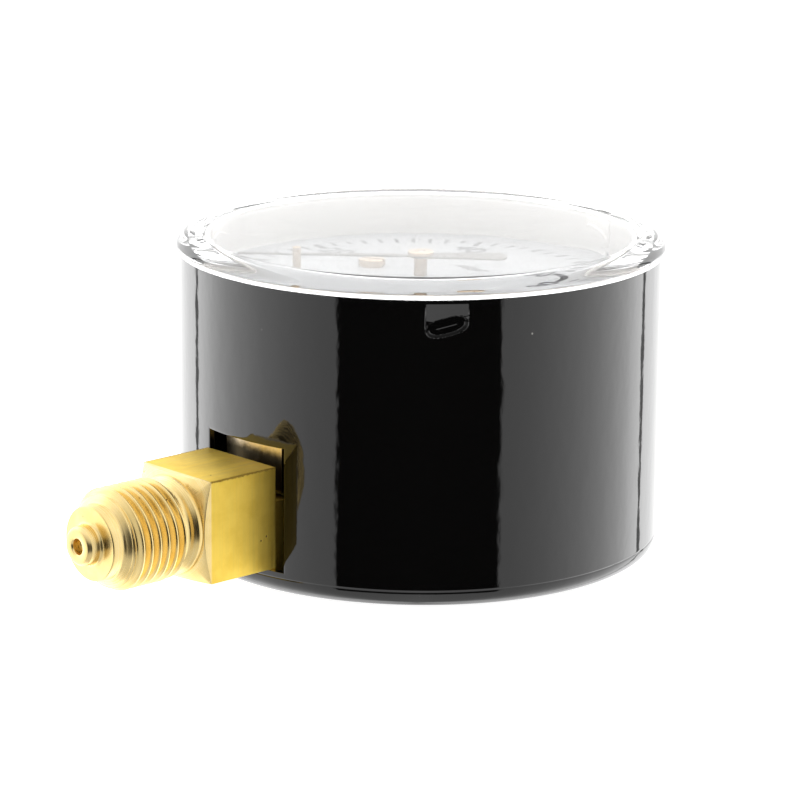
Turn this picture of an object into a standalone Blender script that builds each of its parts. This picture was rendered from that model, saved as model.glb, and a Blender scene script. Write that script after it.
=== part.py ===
"""Capsule pressure gauge, nominal size 63, with a radial G 1/4 B connection.

Metres. The origin is the centre of the case's flat back. +Z points out through the window,
-Y is six o'clock on the dial and the direction of the stem, and +X is three o'clock.
"""

import math

import bmesh
import bpy
from mathutils import Matrix, Vector
from mathutils.geometry import tessellate_polygon

MM = 0.001

# Case: a drawn cup with a flat back
CASE_RADIUS = 31.5 * MM
CASE_WALL = 0.8 * MM
CASE_HEIGHT = 39.4 * MM
CASE_CORNER = 2.0 * MM
CUTOUT_X = (-6.55 * MM, 7.5 * MM)
CUTOUT_Z = (3.0 * MM, 19.25 * MM)
DIMPLE_ANGLES = (-37.7, 82.3, 202.3)
DIMPLE_Z = 36.2 * MM
DIMPLE_SIZE = (5.3 * MM, 2.2 * MM)
DIMPLE_TILT = 14.0
DIMPLE_DEPTH = 0.75 * MM
DIMPLE_WALL = 0.15 * MM

# Window: clear lens, bullnose flange and skirt in one piece
FLANGE_RADIUS = 32.0 * MM
FLANGE_Z = 39.65 * MM
FLANGE_EDGE = 0.5 * MM
CREASE_RADIUS = 28.6 * MM
LENS_TOP_Z = 42.0 * MM
LENS_THICKNESS = 2.05 * MM
SKIRT_RADII = (28.3 * MM, 29.7 * MM)
SKIRT_BOTTOM_Z = 34.0 * MM
LUG_RADIUS = 30.4 * MM
LUG_TOP_Z = 34.5 * MM
LUG_HALF_ANGLE = 6.0
LUG_ROOT = 0.6 * MM

# Dial and pointer
DIAL_RADIUS = 29.3 * MM
DIAL_TOP_Z = 33.8 * MM
DIAL_THICKNESS = 0.6 * MM
DIAL_HOLE_RADIUS = 1.4 * MM
DIAL_SCREW_SPOTS = ((-10.4 * MM, 1.0 * MM), (10.4 * MM, -1.0 * MM))
STOP_PIN_RADIUS = 0.55 * MM
STOP_PIN_PLACE = (16.2 * MM, 221.5)
STOP_PIN_TOP_Z = 38.1 * MM
STOP_PIN_BEHIND = 0.5 * MM
STOP_PIN_CROWN = 0.15 * MM
DIAL_POST_RADII = (1.05 * MM, 1.8 * MM)
ZERO_CLOCK = 225.0
POINTER_Z = (36.78 * MM, 37.02 * MM)
POINTER_TIP = 24.0 * MM
POINTER_TAIL = 11.3 * MM
POINTER_BOSS_RADIUS = 1.5 * MM
POINTER_ROOT = (1.6 * MM, 0.55 * MM)
POINTER_TIP_HALF = 0.12 * MM
TAIL_NECK = (5.0 * MM, 1.6 * MM)
TAIL_END = (1.2 * MM, 2.2 * MM)
HUB_CAP_Z = (37.06 * MM, 37.56 * MM)
HUB_CAP_RADIUS = 1.7 * MM
HUB_CAP_EDGE = 0.1 * MM
HUB_BUSH_RADIUS = 0.85 * MM
HUB_BORE_RADIUS = 0.6 * MM
HUB_ABOVE_DIAL = 0.35 * MM

# Stem: square block, G 1/4 B thread, sealing step and spigot. Distances run out from the case's axis.
STEM_Z = 10.2 * MM
BLOCK_WIDTH = 13.0 * MM
BLOCK_HEIGHT = 13.2 * MM
BLOCK_SPAN = (31.1 * MM, 42.9 * MM)
BLOCK_CORNER_SPAN = 41.65 * MM
COLLAR_RADIUS = 6.3 * MM
COLLAR_END = 43.5 * MM
COLLAR_CHAMFER = 0.3 * MM
GROOVE_RADIUS = 5.35 * MM
GROOVE_SPAN = (44.2 * MM, 44.9 * MM)
THREAD_RADIUS = 6.55 * MM
THREAD_ROOT_RADIUS = 5.72 * MM
THREAD_PITCH = 1.337 * MM
THREAD_SPAN = (45.1 * MM, 53.6 * MM)
THREAD_CORE_INSET = 0.15 * MM
THREAD_CORE_SPAN = (45.3 * MM, 53.2 * MM)
STEP_RADIUS = 4.75 * MM
STEP_START = 54.1 * MM
STEP_END = 55.8 * MM
SPIGOT_RADIUS = 2.5 * MM
SPIGOT_END = 57.8 * MM
SPIGOT_CHAMFER = 0.4 * MM
BORE_RADIUS = 0.95 * MM
BORE_COUNTERSINK = (0.6 * MM, 0.3 * MM)
TAIL_WIDTH = 10.6 * MM
TAIL_Z = (1.1 * MM, 11.9 * MM)
TAIL_END_Y = 6.0 * MM
TAIL_CLEARANCE = 0.2 * MM
ROOT_RISE = 0.7 * MM
INLET_RADIUS = 2.6 * MM
INLET_FLOOR_Z = 7.4 * MM

# Screws: countersunk through the case's back, cheese-headed inside. Heads and shanks are (radius, length).
SOCKET_SCREW_Y = (-23.0 * MM, -9.0 * MM)
SOCKET_SCREW_CONE = 2.9 * MM
SOCKET_SCREW_HOLE = ((2.2 * MM, 1.3 * MM), (1.6 * MM, 1.9 * MM), (1.6 * MM, 8.0 * MM))
SOCKET_SCREW_HEAD = ((2.6 * MM, 0.05 * MM), (2.6 * MM, 0.15 * MM), (1.5 * MM, 1.5 * MM))
SOCKET_SCREW_TIP = ((1.5 * MM, 7.0 * MM), (1.2 * MM, 7.3 * MM))
CROSS_SLOT = (1.5 * MM, 0.25 * MM, 0.9 * MM)
CROSS_TURN = 25.0
WIDE_SCREW_HOLE = 1.05 * MM
NARROW_SCREW_HOLE = 0.9 * MM
SCREW_EDGE = 0.12 * MM
SCREW_SEAT = 0.05 * MM
DIAL_SCREW = ((1.8 * MM, 0.9 * MM), (0.95 * MM, 1.8 * MM))
CARRIER_SCREW = ((1.8 * MM, 1.1 * MM), (0.95 * MM, 4.4 * MM))
BASE_SCREW = ((1.8 * MM, 1.1 * MM), (0.95 * MM, 2.3 * MM))
PLATE_SCREW = ((1.35 * MM, 0.8 * MM), (0.78 * MM, 4.2 * MM))
BRACKET_SCREW = ((1.4 * MM, 0.8 * MM), (0.8 * MM, 1.7 * MM))
LOWER_SCREW_SPOTS = ((-3.2 * MM, -16.0 * MM), (3.2 * MM, -16.0 * MM))
BRACKET_SCREW_SPOT = (-2.5 * MM, 10.2 * MM)

# Carrier: brass strip cranked round the edge of the capsule
CARRIER_FRONT = 29.0 * MM
CARRIER_THICKNESS = 1.2 * MM
CARRIER_FOOT_THICKNESS = 1.0 * MM
CARRIER_FOOT_END = 4.0 * MM
CARRIER_BEND = 1.6 * MM
CARRIER_FOOT_Z = 12.2 * MM
CARRIER_ARM_Z = 24.2 * MM
CARRIER_ARM_END = 8.0 * MM
CARRIER_SCREW_Y = -23.5 * MM
CARRIER_SCREW_X = 3.0 * MM
CARRIER_HOLE_DEPTH = 8.4 * MM

# Capsule: two corrugated diaphragms welded at their rims
CAPSULE_RADIUS = 24.0 * MM
CAPSULE_RIM_Z = 15.4 * MM
CAPSULE_RISE = 1.5 * MM
CORRUGATION = 0.3 * MM
CORRUGATIONS = 2
DIAPHRAGM_THICKNESS = 0.3 * MM
DIAPHRAGM_OPENING = 2.2 * MM
DIAPHRAGM_FLAT_RIM = 2.0 * MM
RIM_RISE = (0.05 * MM, 0.35 * MM)
BOSS_BORE_RADIUS = 0.8 * MM
BOSS_RADIUS = 2.1 * MM
BOSS_FOOT = (2.5 * MM, 8.0 * MM)
BOSS_SHOULDER_RADIUS = 4.2 * MM
BOSS_RISE = 0.9 * MM
SEAL_RADII = (1.1 * MM, 2.5 * MM)
SEAL_Z = (7.45 * MM, 7.95 * MM)
POST_RADIUS = 1.5 * MM
POST_FLANGE_RADIUS = 3.2 * MM
POST_FLANGE_RISE = (0.05 * MM, 0.45 * MM, 0.6 * MM)
POST_DEPTH = 0.7 * MM
POST_PIN_Z = 19.4 * MM

# Movement
LOWER_PLATE_Z = (25.6 * MM, 26.6 * MM)
UPPER_PLATE_Z = (30.8 * MM, 31.8 * MM)
PILLAR_SPOTS = ((-13.5 * MM, -2.5 * MM), (5.8 * MM, -4.2 * MM), (5.8 * MM, 9.6 * MM), (-13.5 * MM, 10.4 * MM))
PILLAR_RADIUS = 1.3 * MM
GEAR_MODULE = 0.2 * MM
PINION_TEETH = 12
SECTOR_RATIO = 10
SECTOR_TEETH_BEHIND = 12
SECTOR_TEETH_AHEAD = 2
SECTOR_Z = (28.2 * MM, 29.0 * MM)
PINION_Z = (27.5 * MM, 29.7 * MM)
PLATE_CORNER = 1.5 * MM
LOWER_PLATE_SPAN = ((-15.2 * MM, -19.0 * MM), (8.2 * MM, 12.2 * MM))
UPPER_PLATE_SPAN = ((-15.2 * MM, -6.2 * MM), (12.6 * MM, 12.2 * MM))
FINGER_SLOT = (0.8 * MM, 2.6 * MM)
PIVOT_RADIUS = 0.5 * MM
ARBOR_RADIUS = 0.85 * MM
SECTOR_ARBOR_RADIUS = 0.9 * MM
SECTOR_HUB_RADIUS = 1.5 * MM
SECTOR_TAIL_HALF = 0.9 * MM
ROCKER_Y = 7.0 * MM
ROCKER_Z = 22.6 * MM
ROCKER_RADIUS = 0.7 * MM
ROCKER_PIVOT_RADIUS = 0.45 * MM
ROCKER_ENDS = (-10.2 * MM, -9.2 * MM, 4.2 * MM, 5.2 * MM)
BRACKET_EARS = ((-10.1 * MM, -9.4 * MM), (4.4 * MM, 5.1 * MM))
BRACKET_HALF = 1.4 * MM
BRACKET_WEB = (1.7 * MM, 4.6 * MM)
BRACKET_THICKNESS = 0.7 * MM
BRACKET_DROP = 1.3 * MM
LIFT_ARM_LENGTH = 7.0 * MM
LIFT_ARM_WIDTH = 1.8 * MM
ARM_THICKNESS = 0.6 * MM
LINK_THICKNESS = 0.5 * MM
LINK_WIDTH = 1.6 * MM
LINK_HOLE_RADIUS = 0.55 * MM
LINK_PIN_RADIUS = 0.4 * MM
LINK_PIN_HOLE = 0.46 * MM
SIDE_GAP = 0.15 * MM
DRIVE_ARM = (5.6 * MM, 1.6 * MM)
DRIVE_ARM_RISE = 1.9 * MM
FINGER_RADIUS = 0.3 * MM
FINGER_SPAN = (4.2 * MM, 6.9 * MM)
ARM_BORE_RADIUS = 0.75 * MM
TAIL_LENGTH = 3.6 * MM
TAIL_SLOT = (2.0 * MM, 0.9 * MM)
COLLET_Z = (29.8 * MM, 30.5 * MM)
COLLET_RADII = (0.9 * MM, 1.5 * MM)
HAIRSPRING_Z = (29.9 * MM, 30.4 * MM)
HAIRSPRING_RADII = (1.75 * MM, 4.1 * MM)
HAIRSPRING_HALF = 0.06 * MM
HAIRSPRING_TURNS = 4
STUD_LOW_Z = 29.4 * MM
STUD_RADIUS = 0.5 * MM
STUD_OFFSET = 0.75 * MM
POINTER_TRAVEL = 270.0
SECTOR_SWING = POINTER_TRAVEL / SECTOR_RATIO
ROCKER_SWING = 16.4
GAP = 0.1 * MM
RUNNING_GAP = 0.07 * MM
CUTTER_REACH = 5.0 * MM

PINION_PITCH_RADIUS = GEAR_MODULE * PINION_TEETH / 2
SECTOR_PITCH_RADIUS = PINION_PITCH_RADIUS * SECTOR_RATIO
CENTRE_DISTANCE = PINION_PITCH_RADIUS + SECTOR_PITCH_RADIUS
SECTOR_X = -math.sqrt(CENTRE_DISTANCE**2 - ROCKER_Y**2)
SECTOR_CENTRE = Vector((SECTOR_X, ROCKER_Y, 0))
DRIVE_ARM_X = SECTOR_X + TAIL_LENGTH

UPRIGHT = Matrix.Identity(4)
TURN_TO_X = Matrix.Rotation(math.radians(90), 4, "Y")
YZ_TO_X = Matrix(((0, 0, 1, 0), (1, 0, 0, 0), (0, 1, 0, 0), (0, 0, 0, 1)))
ALONG_STEM = Matrix.Translation((0, 0, STEM_Z)) @ Matrix.Rotation(math.radians(90), 4, "X")


def material(name, colour, metallic, roughness, transmission=0.0):
    made = bpy.data.materials.new(name)
    made.use_nodes = True
    shader = made.node_tree.nodes["Principled BSDF"]
    shader.inputs["Base Color"].default_value = (*colour, 1)
    shader.inputs["Metallic"].default_value = metallic
    shader.inputs["Roughness"].default_value = roughness
    shader.inputs["Transmission Weight"].default_value = transmission
    return made


def circle(radius, steps, centre=(0, 0)):
    x, y = centre[0], centre[1]
    angles = [2 * math.pi * i / steps for i in range(steps)]
    return [(x + radius * math.cos(angle), y + radius * math.sin(angle)) for angle in angles]


def arc(centre, radii, start, end, steps):
    """Points on an ellipse's arc, from one angle to another in degrees."""
    points = []
    for i in range(steps + 1):
        angle = math.radians(start + (end - start) * i / steps)
        points.append((centre[0] + radii[0] * math.cos(angle), centre[1] + radii[1] * math.sin(angle)))
    return points


def turned(profile, steps=32):
    """A solid turned round Z from a closed (radius, height) outline."""
    mesh = bmesh.new()
    rings = []
    for radius, height in profile:
        if radius < 1e-7:
            rings.append([mesh.verts.new((0, 0, height))])
            continue
        rings.append([mesh.verts.new((x, y, height)) for x, y in circle(radius, steps)])
    for ring, following in zip(rings, rings[1:] + rings[:1]):
        for i in range(steps):
            corners = [ring[i % len(ring)], ring[(i + 1) % len(ring)]]
            corners += [following[(i + 1) % len(following)], following[i % len(following)]]
            corners = list(dict.fromkeys(corners))
            if len(corners) > 2:
                mesh.faces.new(corners)
    return mesh


def prism(outline, low, high, holes=()):
    """A flat solid between two heights, with round or shaped holes through it."""
    mesh = bmesh.new()
    loops = [list(outline), *[list(hole) for hole in holes]]
    flat = [Vector((x, y, 0)) for loop in loops for x, y in loop]
    bottom = [mesh.verts.new((point.x, point.y, low)) for point in flat]
    top = [mesh.verts.new((point.x, point.y, high)) for point in flat]
    for corners in tessellate_polygon([[Vector((x, y, 0)) for x, y in loop] for loop in loops]):
        mesh.faces.new([bottom[i] for i in corners])
        mesh.faces.new([top[i] for i in reversed(corners)])
    first = 0
    for loop in loops:
        for i in range(len(loop)):
            a = first + i
            b = first + (i + 1) % len(loop)
            mesh.faces.new([bottom[a], bottom[b], top[b], top[a]])
        first += len(loop)
    return mesh


def box(low, high):
    outline = [(low[0], low[1]), (high[0], low[1]), (high[0], high[1]), (low[0], high[1])]
    return prism(outline, low[2], high[2])


def rounded_rectangle(low, high, radius, steps=4):
    points = []
    corners = ((high[0], high[1], 0), (low[0], high[1], 90), (low[0], low[1], 180), (high[0], low[1], 270))
    for x, y, start in corners:
        inset_x = math.copysign(radius, x - low[0] - radius)
        inset_y = math.copysign(radius, y - low[1] - radius)
        points += arc((x - inset_x, y - inset_y), (radius, radius), start, start + 90, steps)
    return points


def stadium(length, width, steps=8):
    reach = (length - width) / 2
    half = width / 2
    return arc((reach, 0), (half, half), -90, 90, steps) + arc((-reach, 0), (half, half), 90, 270, steps)


def add(name, mesh, finish, place=UPRIGHT, origin=(0, 0, 0)):
    """Makes the object, with its origin moved to the given point."""
    bmesh.ops.transform(mesh, matrix=Matrix.Translation(-Vector(origin)) @ place, verts=mesh.verts)
    bmesh.ops.recalc_face_normals(mesh, faces=mesh.faces)
    data = bpy.data.meshes.new(name)
    mesh.to_mesh(data)
    mesh.free()
    data.shade_smooth()
    data.set_sharp_from_angle(angle=math.radians(35))
    made = bpy.data.objects.new(name, data)
    made.location = origin
    made.data.materials.append(finish)
    bpy.context.scene.collection.objects.link(made)
    return made


def combine(target, operation, name, mesh, place=UPRIGHT):
    """Adds a shape to a part, or cuts it away, with a hidden helper."""
    helper = add(name, mesh, target.data.materials[0], place)
    helper.hide_render = True
    helper.display_type = "WIRE"
    modifier = target.modifiers.new(name, "BOOLEAN")
    modifier.operation = operation
    modifier.object = helper


def clock_point(radius, clock):
    angle = math.radians(90 - clock)
    return Vector((radius * math.cos(angle), radius * math.sin(angle), 0))


def gear_outline(module, teeth, phase, first, last):
    """Trapezoid teeth round a circle, from one tooth number to another, as (x, y) points."""
    pitch_radius = module * teeth / 2
    cell = 2 * math.pi / teeth
    shape = ((-0.5, -1.1), (-0.33, -1.1), (-0.1, 0.8), (0.1, 0.8), (0.33, -1.1))
    points = []
    for tooth in range(first, last):
        for across, height in shape:
            angle = phase + (tooth + across) * cell
            radius = pitch_radius + height * module
            points.append((radius * math.cos(angle), radius * math.sin(angle)))
    return points


def make_case(finish):
    inner = CASE_RADIUS - CASE_WALL
    corner = CASE_CORNER
    outline = [(0, 0)]
    outline += arc((CASE_RADIUS - corner, corner), (corner, corner), -90, 0, 4)
    outline += [(CASE_RADIUS, CASE_HEIGHT), (inner, CASE_HEIGHT), (inner, CASE_WALL), (0, CASE_WALL)]
    case = add("case", turned(outline, 64), finish)
    low = (CUTOUT_X[0], -CASE_RADIUS - CUTTER_REACH, CUTOUT_Z[0])
    high = (CUTOUT_X[1], -CASE_RADIUS + CUTTER_REACH, CUTOUT_Z[1])
    combine(case, "DIFFERENCE", "cutout_shape", box(low, high))
    for y in SOCKET_SCREW_Y:
        cone = [(0, -1 * MM), (SOCKET_SCREW_CONE + 1 * MM, -1 * MM), (SOCKET_SCREW_CONE - 1 * MM, 1 * MM)]
        cone += [(0, 1 * MM)]
        combine(case, "DIFFERENCE", "screw_hole_shape", turned(cone, 32), Matrix.Translation((0, y, 0)))
    for angle in DIMPLE_ANGLES:
        turn = Matrix.Rotation(math.radians(angle), 4, "Z")
        face = turn @ Matrix.Translation((0, 0, DIMPLE_Z)) @ Matrix.Rotation(math.radians(90), 4, "Y")
        tilt = Matrix.Rotation(math.radians(90 + DIMPLE_TILT), 4, "Z")
        length, width = DIMPLE_SIZE
        bump_face = inner - DIMPLE_DEPTH + GAP
        bump_shape = stadium(length + 2 * DIMPLE_WALL, width + 2 * DIMPLE_WALL)
        bump = prism(bump_shape, bump_face, inner + CASE_WALL / 2)
        combine(case, "UNION", "dimple_bump_shape", bump, face @ tilt)
        press = prism(stadium(length, width), CASE_RADIUS - DIMPLE_DEPTH, CASE_RADIUS + 2 * MM)
        combine(case, "DIFFERENCE", "dimple_press_shape", press, face @ tilt)
    return case


def make_window(finish):
    under = LENS_TOP_Z - LENS_THICKNESS
    edge_z = FLANGE_Z + FLANGE_EDGE
    outline = [(0, under), (SKIRT_RADII[0], under), (SKIRT_RADII[0], SKIRT_BOTTOM_Z)]
    outline += [(SKIRT_RADII[1], SKIRT_BOTTOM_Z), (SKIRT_RADII[1], FLANGE_Z), (FLANGE_RADIUS, FLANGE_Z)]
    bullnose = (FLANGE_RADIUS - CREASE_RADIUS, LENS_TOP_Z - edge_z)
    outline += arc((CREASE_RADIUS, edge_z), bullnose, 0, 90, 5)
    outline += [(0, LENS_TOP_Z)]
    window = add("window", turned(outline, 64), finish)
    for angle in DIMPLE_ANGLES:
        outer = arc((0, 0), (LUG_RADIUS, LUG_RADIUS), angle - LUG_HALF_ANGLE, angle + LUG_HALF_ANGLE, 4)
        inner = SKIRT_RADII[1] - LUG_ROOT
        back = arc((0, 0), (inner, inner), angle + LUG_HALF_ANGLE, angle - LUG_HALF_ANGLE, 4)
        lug = prism(outer + back, SKIRT_BOTTOM_Z - 0.02 * MM, LUG_TOP_Z)
        combine(window, "UNION", "lug_shape", lug)
    return window


def make_dial(white, brass):
    holes = [circle(DIAL_HOLE_RADIUS, 32)]
    holes += [circle(WIDE_SCREW_HOLE + GAP, 16, spot) for spot in DIAL_SCREW_SPOTS]
    pin = clock_point(*STOP_PIN_PLACE)
    holes += [circle(STOP_PIN_RADIUS + RUNNING_GAP, 16, pin)]
    bottom = DIAL_TOP_Z - DIAL_THICKNESS
    add("dial", prism(circle(DIAL_RADIUS, 64), bottom, DIAL_TOP_Z, holes), white)
    low = bottom - STOP_PIN_BEHIND
    outline = [(0, low), (STOP_PIN_RADIUS, low), (STOP_PIN_RADIUS, STOP_PIN_TOP_Z - STOP_PIN_CROWN)]
    outline += [(STOP_PIN_RADIUS - STOP_PIN_CROWN, STOP_PIN_TOP_Z), (0, STOP_PIN_TOP_Z)]
    add("stop_pin", turned(outline, 16), brass, Matrix.Translation(pin))


def slotted_screw(name, spot, seat_z, size, finish, slot_angle=0.0, under=False):
    """A cheese-head screw whose head sits a hair off the seat. Its size is (head, shank)."""
    (head_radius, head_height), (shank_radius, shank_length) = size
    outline = [(0, -shank_length), (shank_radius, -shank_length)]
    outline += [(shank_radius, 0), (head_radius, 0), (head_radius, head_height - SCREW_EDGE)]
    outline += [(head_radius - SCREW_EDGE, head_height), (0, head_height)]
    base_z = seat_z - SCREW_SEAT if under else seat_z + SCREW_SEAT
    place = Matrix.Translation((spot[0], spot[1], base_z))
    if under:
        place = place @ Matrix.Rotation(math.pi, 4, "X")
    place = place @ Matrix.Rotation(math.radians(slot_angle), 4, "Z")
    screw = add(name, turned(outline, 12), finish, place)
    half = 0.16 * head_radius
    slot = box((-2 * head_radius, -half, 0.55 * head_height), (2 * head_radius, half, 3 * head_height))
    combine(screw, "DIFFERENCE", name + "_slot_shape", slot, place)
    return screw


def make_dial_fixings(brass):
    post_low = UPPER_PLATE_Z[1] + GAP
    post_high = DIAL_TOP_Z - DIAL_THICKNESS - GAP
    for side, spot, slot in zip(("left", "right"), DIAL_SCREW_SPOTS, (20, -35)):
        bore, outside = DIAL_POST_RADII
        ring = prism(circle(outside, 24), post_low, post_high, [circle(bore, 20)])
        add(f"dial_post_{side}", ring, brass, Matrix.Translation((*spot, 0)))
        slotted_screw(f"dial_screw_{side}", spot, DIAL_TOP_Z, DIAL_SCREW, brass, slot)


def thread_mesh():
    """A helical ridge on a closed cylinder: rows follow the helix and are squared off at both ends."""
    start, end = THREAD_SPAN
    steps = 20
    shape = ((0.0, 0.0), (0.42, 1.0), (0.58, 1.0))
    turns = math.ceil((end - start) / THREAD_PITCH) + 1
    rows = [(turn + along, height) for turn in range(-1, turns) for along, height in shape]
    depth = THREAD_RADIUS - THREAD_ROOT_RADIUS
    mesh = bmesh.new()
    grid = []
    for along, height in rows:
        ring = []
        for i in range(steps):
            place = start + THREAD_PITCH * (along + i / steps)
            fade = min(1, max(0, min(place - start, end - place) / THREAD_PITCH))
            radius = THREAD_ROOT_RADIUS + depth * height * fade
            place = min(max(place, start), end)
            angle = 2 * math.pi * i / steps
            ring.append(mesh.verts.new((radius * math.cos(angle), radius * math.sin(angle), place)))
        grid.append(ring)
    lead = len(shape)
    for j in range(len(rows) - 1):
        for i in range(steps - 1):
            mesh.faces.new([grid[j][i], grid[j][i + 1], grid[j + 1][i + 1], grid[j + 1][i]])
        if j >= lead:
            seam = [grid[j - lead][steps - 1], grid[j][0], grid[j + 1][0], grid[j - lead + 1][steps - 1]]
            mesh.faces.new(seam)
    bmesh.ops.remove_doubles(mesh, verts=mesh.verts, dist=1e-6)
    bmesh.ops.dissolve_degenerate(mesh, edges=mesh.edges, dist=1e-7)
    loose = [vert for vert in mesh.verts if not vert.link_faces]
    bmesh.ops.delete(mesh, geom=loose, context="VERTS")
    bmesh.ops.holes_fill(mesh, edges=[edge for edge in mesh.edges if edge.is_boundary])
    return mesh


def make_socket(brass):
    reach = math.hypot(BLOCK_WIDTH, BLOCK_HEIGHT) / 2
    flat = BLOCK_WIDTH / 2
    blank = [(0, BLOCK_SPAN[0]), (reach + GAP, BLOCK_SPAN[0]), (reach + GAP, BLOCK_CORNER_SPAN)]
    blank += [(flat - 0.2 * MM, BLOCK_SPAN[1]), (0, BLOCK_SPAN[1])]
    socket = add("socket", turned(blank, 32), brass, ALONG_STEM)
    low = (-flat, -BLOCK_SPAN[1] - CUTTER_REACH, STEM_Z - BLOCK_HEIGHT / 2)
    high = (flat, -BLOCK_SPAN[0] + CUTTER_REACH, STEM_Z + BLOCK_HEIGHT / 2)
    combine(socket, "INTERSECT", "block_shape", box(low, high))
    inside_block = BLOCK_SPAN[1] - 1 * MM
    core = THREAD_ROOT_RADIUS - THREAD_CORE_INSET
    neck = [(0, inside_block), (COLLAR_RADIUS, inside_block), (COLLAR_RADIUS, COLLAR_END)]
    neck += [(COLLAR_RADIUS - COLLAR_CHAMFER, COLLAR_END + COLLAR_CHAMFER)]
    neck += [(GROOVE_RADIUS, station) for station in GROOVE_SPAN]
    neck += [(core, station) for station in THREAD_CORE_SPAN]
    neck += [(STEP_RADIUS, STEP_START), (STEP_RADIUS, STEP_END), (SPIGOT_RADIUS, STEP_END)]
    neck += [(SPIGOT_RADIUS, SPIGOT_END - SPIGOT_CHAMFER), (SPIGOT_RADIUS - SPIGOT_CHAMFER, SPIGOT_END)]
    neck += [(0, SPIGOT_END)]
    combine(socket, "UNION", "neck_shape", turned(neck, 28), ALONG_STEM)
    combine(socket, "UNION", "thread_shape", thread_mesh(), ALONG_STEM)
    half = TAIL_WIDTH / 2
    shelf_y = TAIL_CLEARANCE - math.sqrt((CASE_RADIUS - CASE_WALL) ** 2 - half**2)
    combine(socket, "UNION", "tail_shape", box((-half, shelf_y, TAIL_Z[0]), (half, TAIL_END_Y, TAIL_Z[1])))
    root_low = (-half, -BLOCK_SPAN[0] - 1 * MM, CUTOUT_Z[0] + ROOT_RISE)
    combine(socket, "UNION", "root_shape", box(root_low, (half, shelf_y + 1 * MM, TAIL_Z[1])))
    widening, reach = BORE_COUNTERSINK
    bore = [(0, -1 * MM), (BORE_RADIUS, -1 * MM), (BORE_RADIUS, SPIGOT_END - reach)]
    bore += [(BORE_RADIUS + widening, SPIGOT_END + reach), (0, SPIGOT_END + reach)]
    combine(socket, "DIFFERENCE", "bore_shape", turned(bore, 20), ALONG_STEM)
    inlet = prism(circle(INLET_RADIUS, 24), INLET_FLOOR_Z, TAIL_Z[1] + 1 * MM)
    combine(socket, "DIFFERENCE", "inlet_shape", inlet)
    for y in SOCKET_SCREW_Y:
        hole = [(0, 0), (SOCKET_SCREW_CONE, 0), *SOCKET_SCREW_HOLE, (0, SOCKET_SCREW_HOLE[-1][1])]
        combine(socket, "DIFFERENCE", "back_hole_shape", turned(hole, 24), Matrix.Translation((0, y, 0)))
    for x in (-CARRIER_SCREW_X, CARRIER_SCREW_X):
        shape = circle(WIDE_SCREW_HOLE, 16, (x, CARRIER_SCREW_Y))
        hole = prism(shape, CARRIER_HOLE_DEPTH, TAIL_Z[1] + 1 * MM)
        combine(socket, "DIFFERENCE", "foot_hole_shape", hole)
    return socket


def make_socket_screws(steel):
    for name, y in zip(("rear", "front"), SOCKET_SCREW_Y):
        outline = [(0, SOCKET_SCREW_HEAD[0][1]), *SOCKET_SCREW_HEAD]
        outline += [*SOCKET_SCREW_TIP, (0, SOCKET_SCREW_TIP[-1][1])]
        place = Matrix.Translation((0, y, 0))
        screw = add(f"socket_screw_{name}", turned(outline, 24), steel, place)
        for angle in (0, 90):
            length, half, depth = CROSS_SLOT
            bar = box((-length, -half, -1 * MM), (length, half, depth))
            turn = Matrix.Rotation(math.radians(angle + CROSS_TURN), 4, "Z")
            combine(screw, "DIFFERENCE", "cross_shape", bar, place @ turn)


def make_carrier(brass):
    """The cranked strip is drawn in the Y-Z plane and pulled along X."""
    front = -CARRIER_FRONT
    step = CARRIER_THICKNESS
    top = CARRIER_ARM_Z + step
    bend = CARRIER_BEND
    foot_top = CARRIER_FOOT_Z + CARRIER_FOOT_THICKNESS
    outline = [(CARRIER_FOOT_END, CARRIER_FOOT_Z)]
    outline += [(front, CARRIER_FOOT_Z), (front, top - bend)]
    outline += arc((front + bend, top - bend), (bend, bend), 180, 90, 4)
    outline += [(-CARRIER_ARM_END, top), (-CARRIER_ARM_END, CARRIER_ARM_Z)]
    outline += [(front + step, CARRIER_ARM_Z), (front + step, foot_top), (CARRIER_FOOT_END, foot_top)]
    half = TAIL_WIDTH / 2
    carrier = add("carrier", prism(outline, -half, half), brass, YZ_TO_X)
    inlet = prism(circle(INLET_RADIUS, 24), CARRIER_FOOT_Z - 1 * MM, foot_top + 1 * MM)
    combine(carrier, "DIFFERENCE", "inlet_hole_shape", inlet)
    spots = [(x, CARRIER_SCREW_Y, CARRIER_FOOT_Z) for x in (-CARRIER_SCREW_X, CARRIER_SCREW_X)]
    spots += [(x, y, CARRIER_ARM_Z) for x, y in LOWER_SCREW_SPOTS]
    for x, y, z in spots:
        hole = prism(circle(WIDE_SCREW_HOLE, 16, (x, y)), z - 1 * MM, z + 3 * MM)
        combine(carrier, "DIFFERENCE", "strip_hole_shape", hole)
    for side, x in (("left", -CARRIER_SCREW_X), ("right", CARRIER_SCREW_X)):
        slotted_screw(f"carrier_screw_{side}", (x, CARRIER_SCREW_Y), foot_top, CARRIER_SCREW, brass, 30)


def diaphragm_outline(sign):
    """One corrugated dish: a closed (radius, height) outline, rim outwards, opening on the axis side."""
    wave = []
    steps = 8
    inner = DIAPHRAGM_OPENING
    outer = CAPSULE_RADIUS - DIAPHRAGM_FLAT_RIM
    for i in range(steps + 1):
        share = i / steps
        radius = inner + (outer - inner) * share
        dome = CAPSULE_RISE * math.cos(share * math.pi / 2) ** 0.8
        ripple = CORRUGATION * math.sin(share * CORRUGATIONS * 2 * math.pi) * math.sin(share * math.pi)
        wave.append((radius, RIM_RISE[1] + dome + ripple))
    far = [(radius, height - DIAPHRAGM_THICKNESS) for radius, height in reversed(wave)]
    rim = [(CAPSULE_RADIUS, RIM_RISE[1]), (CAPSULE_RADIUS, RIM_RISE[0])]
    return [(radius, CAPSULE_RIM_Z + sign * height) for radius, height in wave + rim + far]


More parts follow.
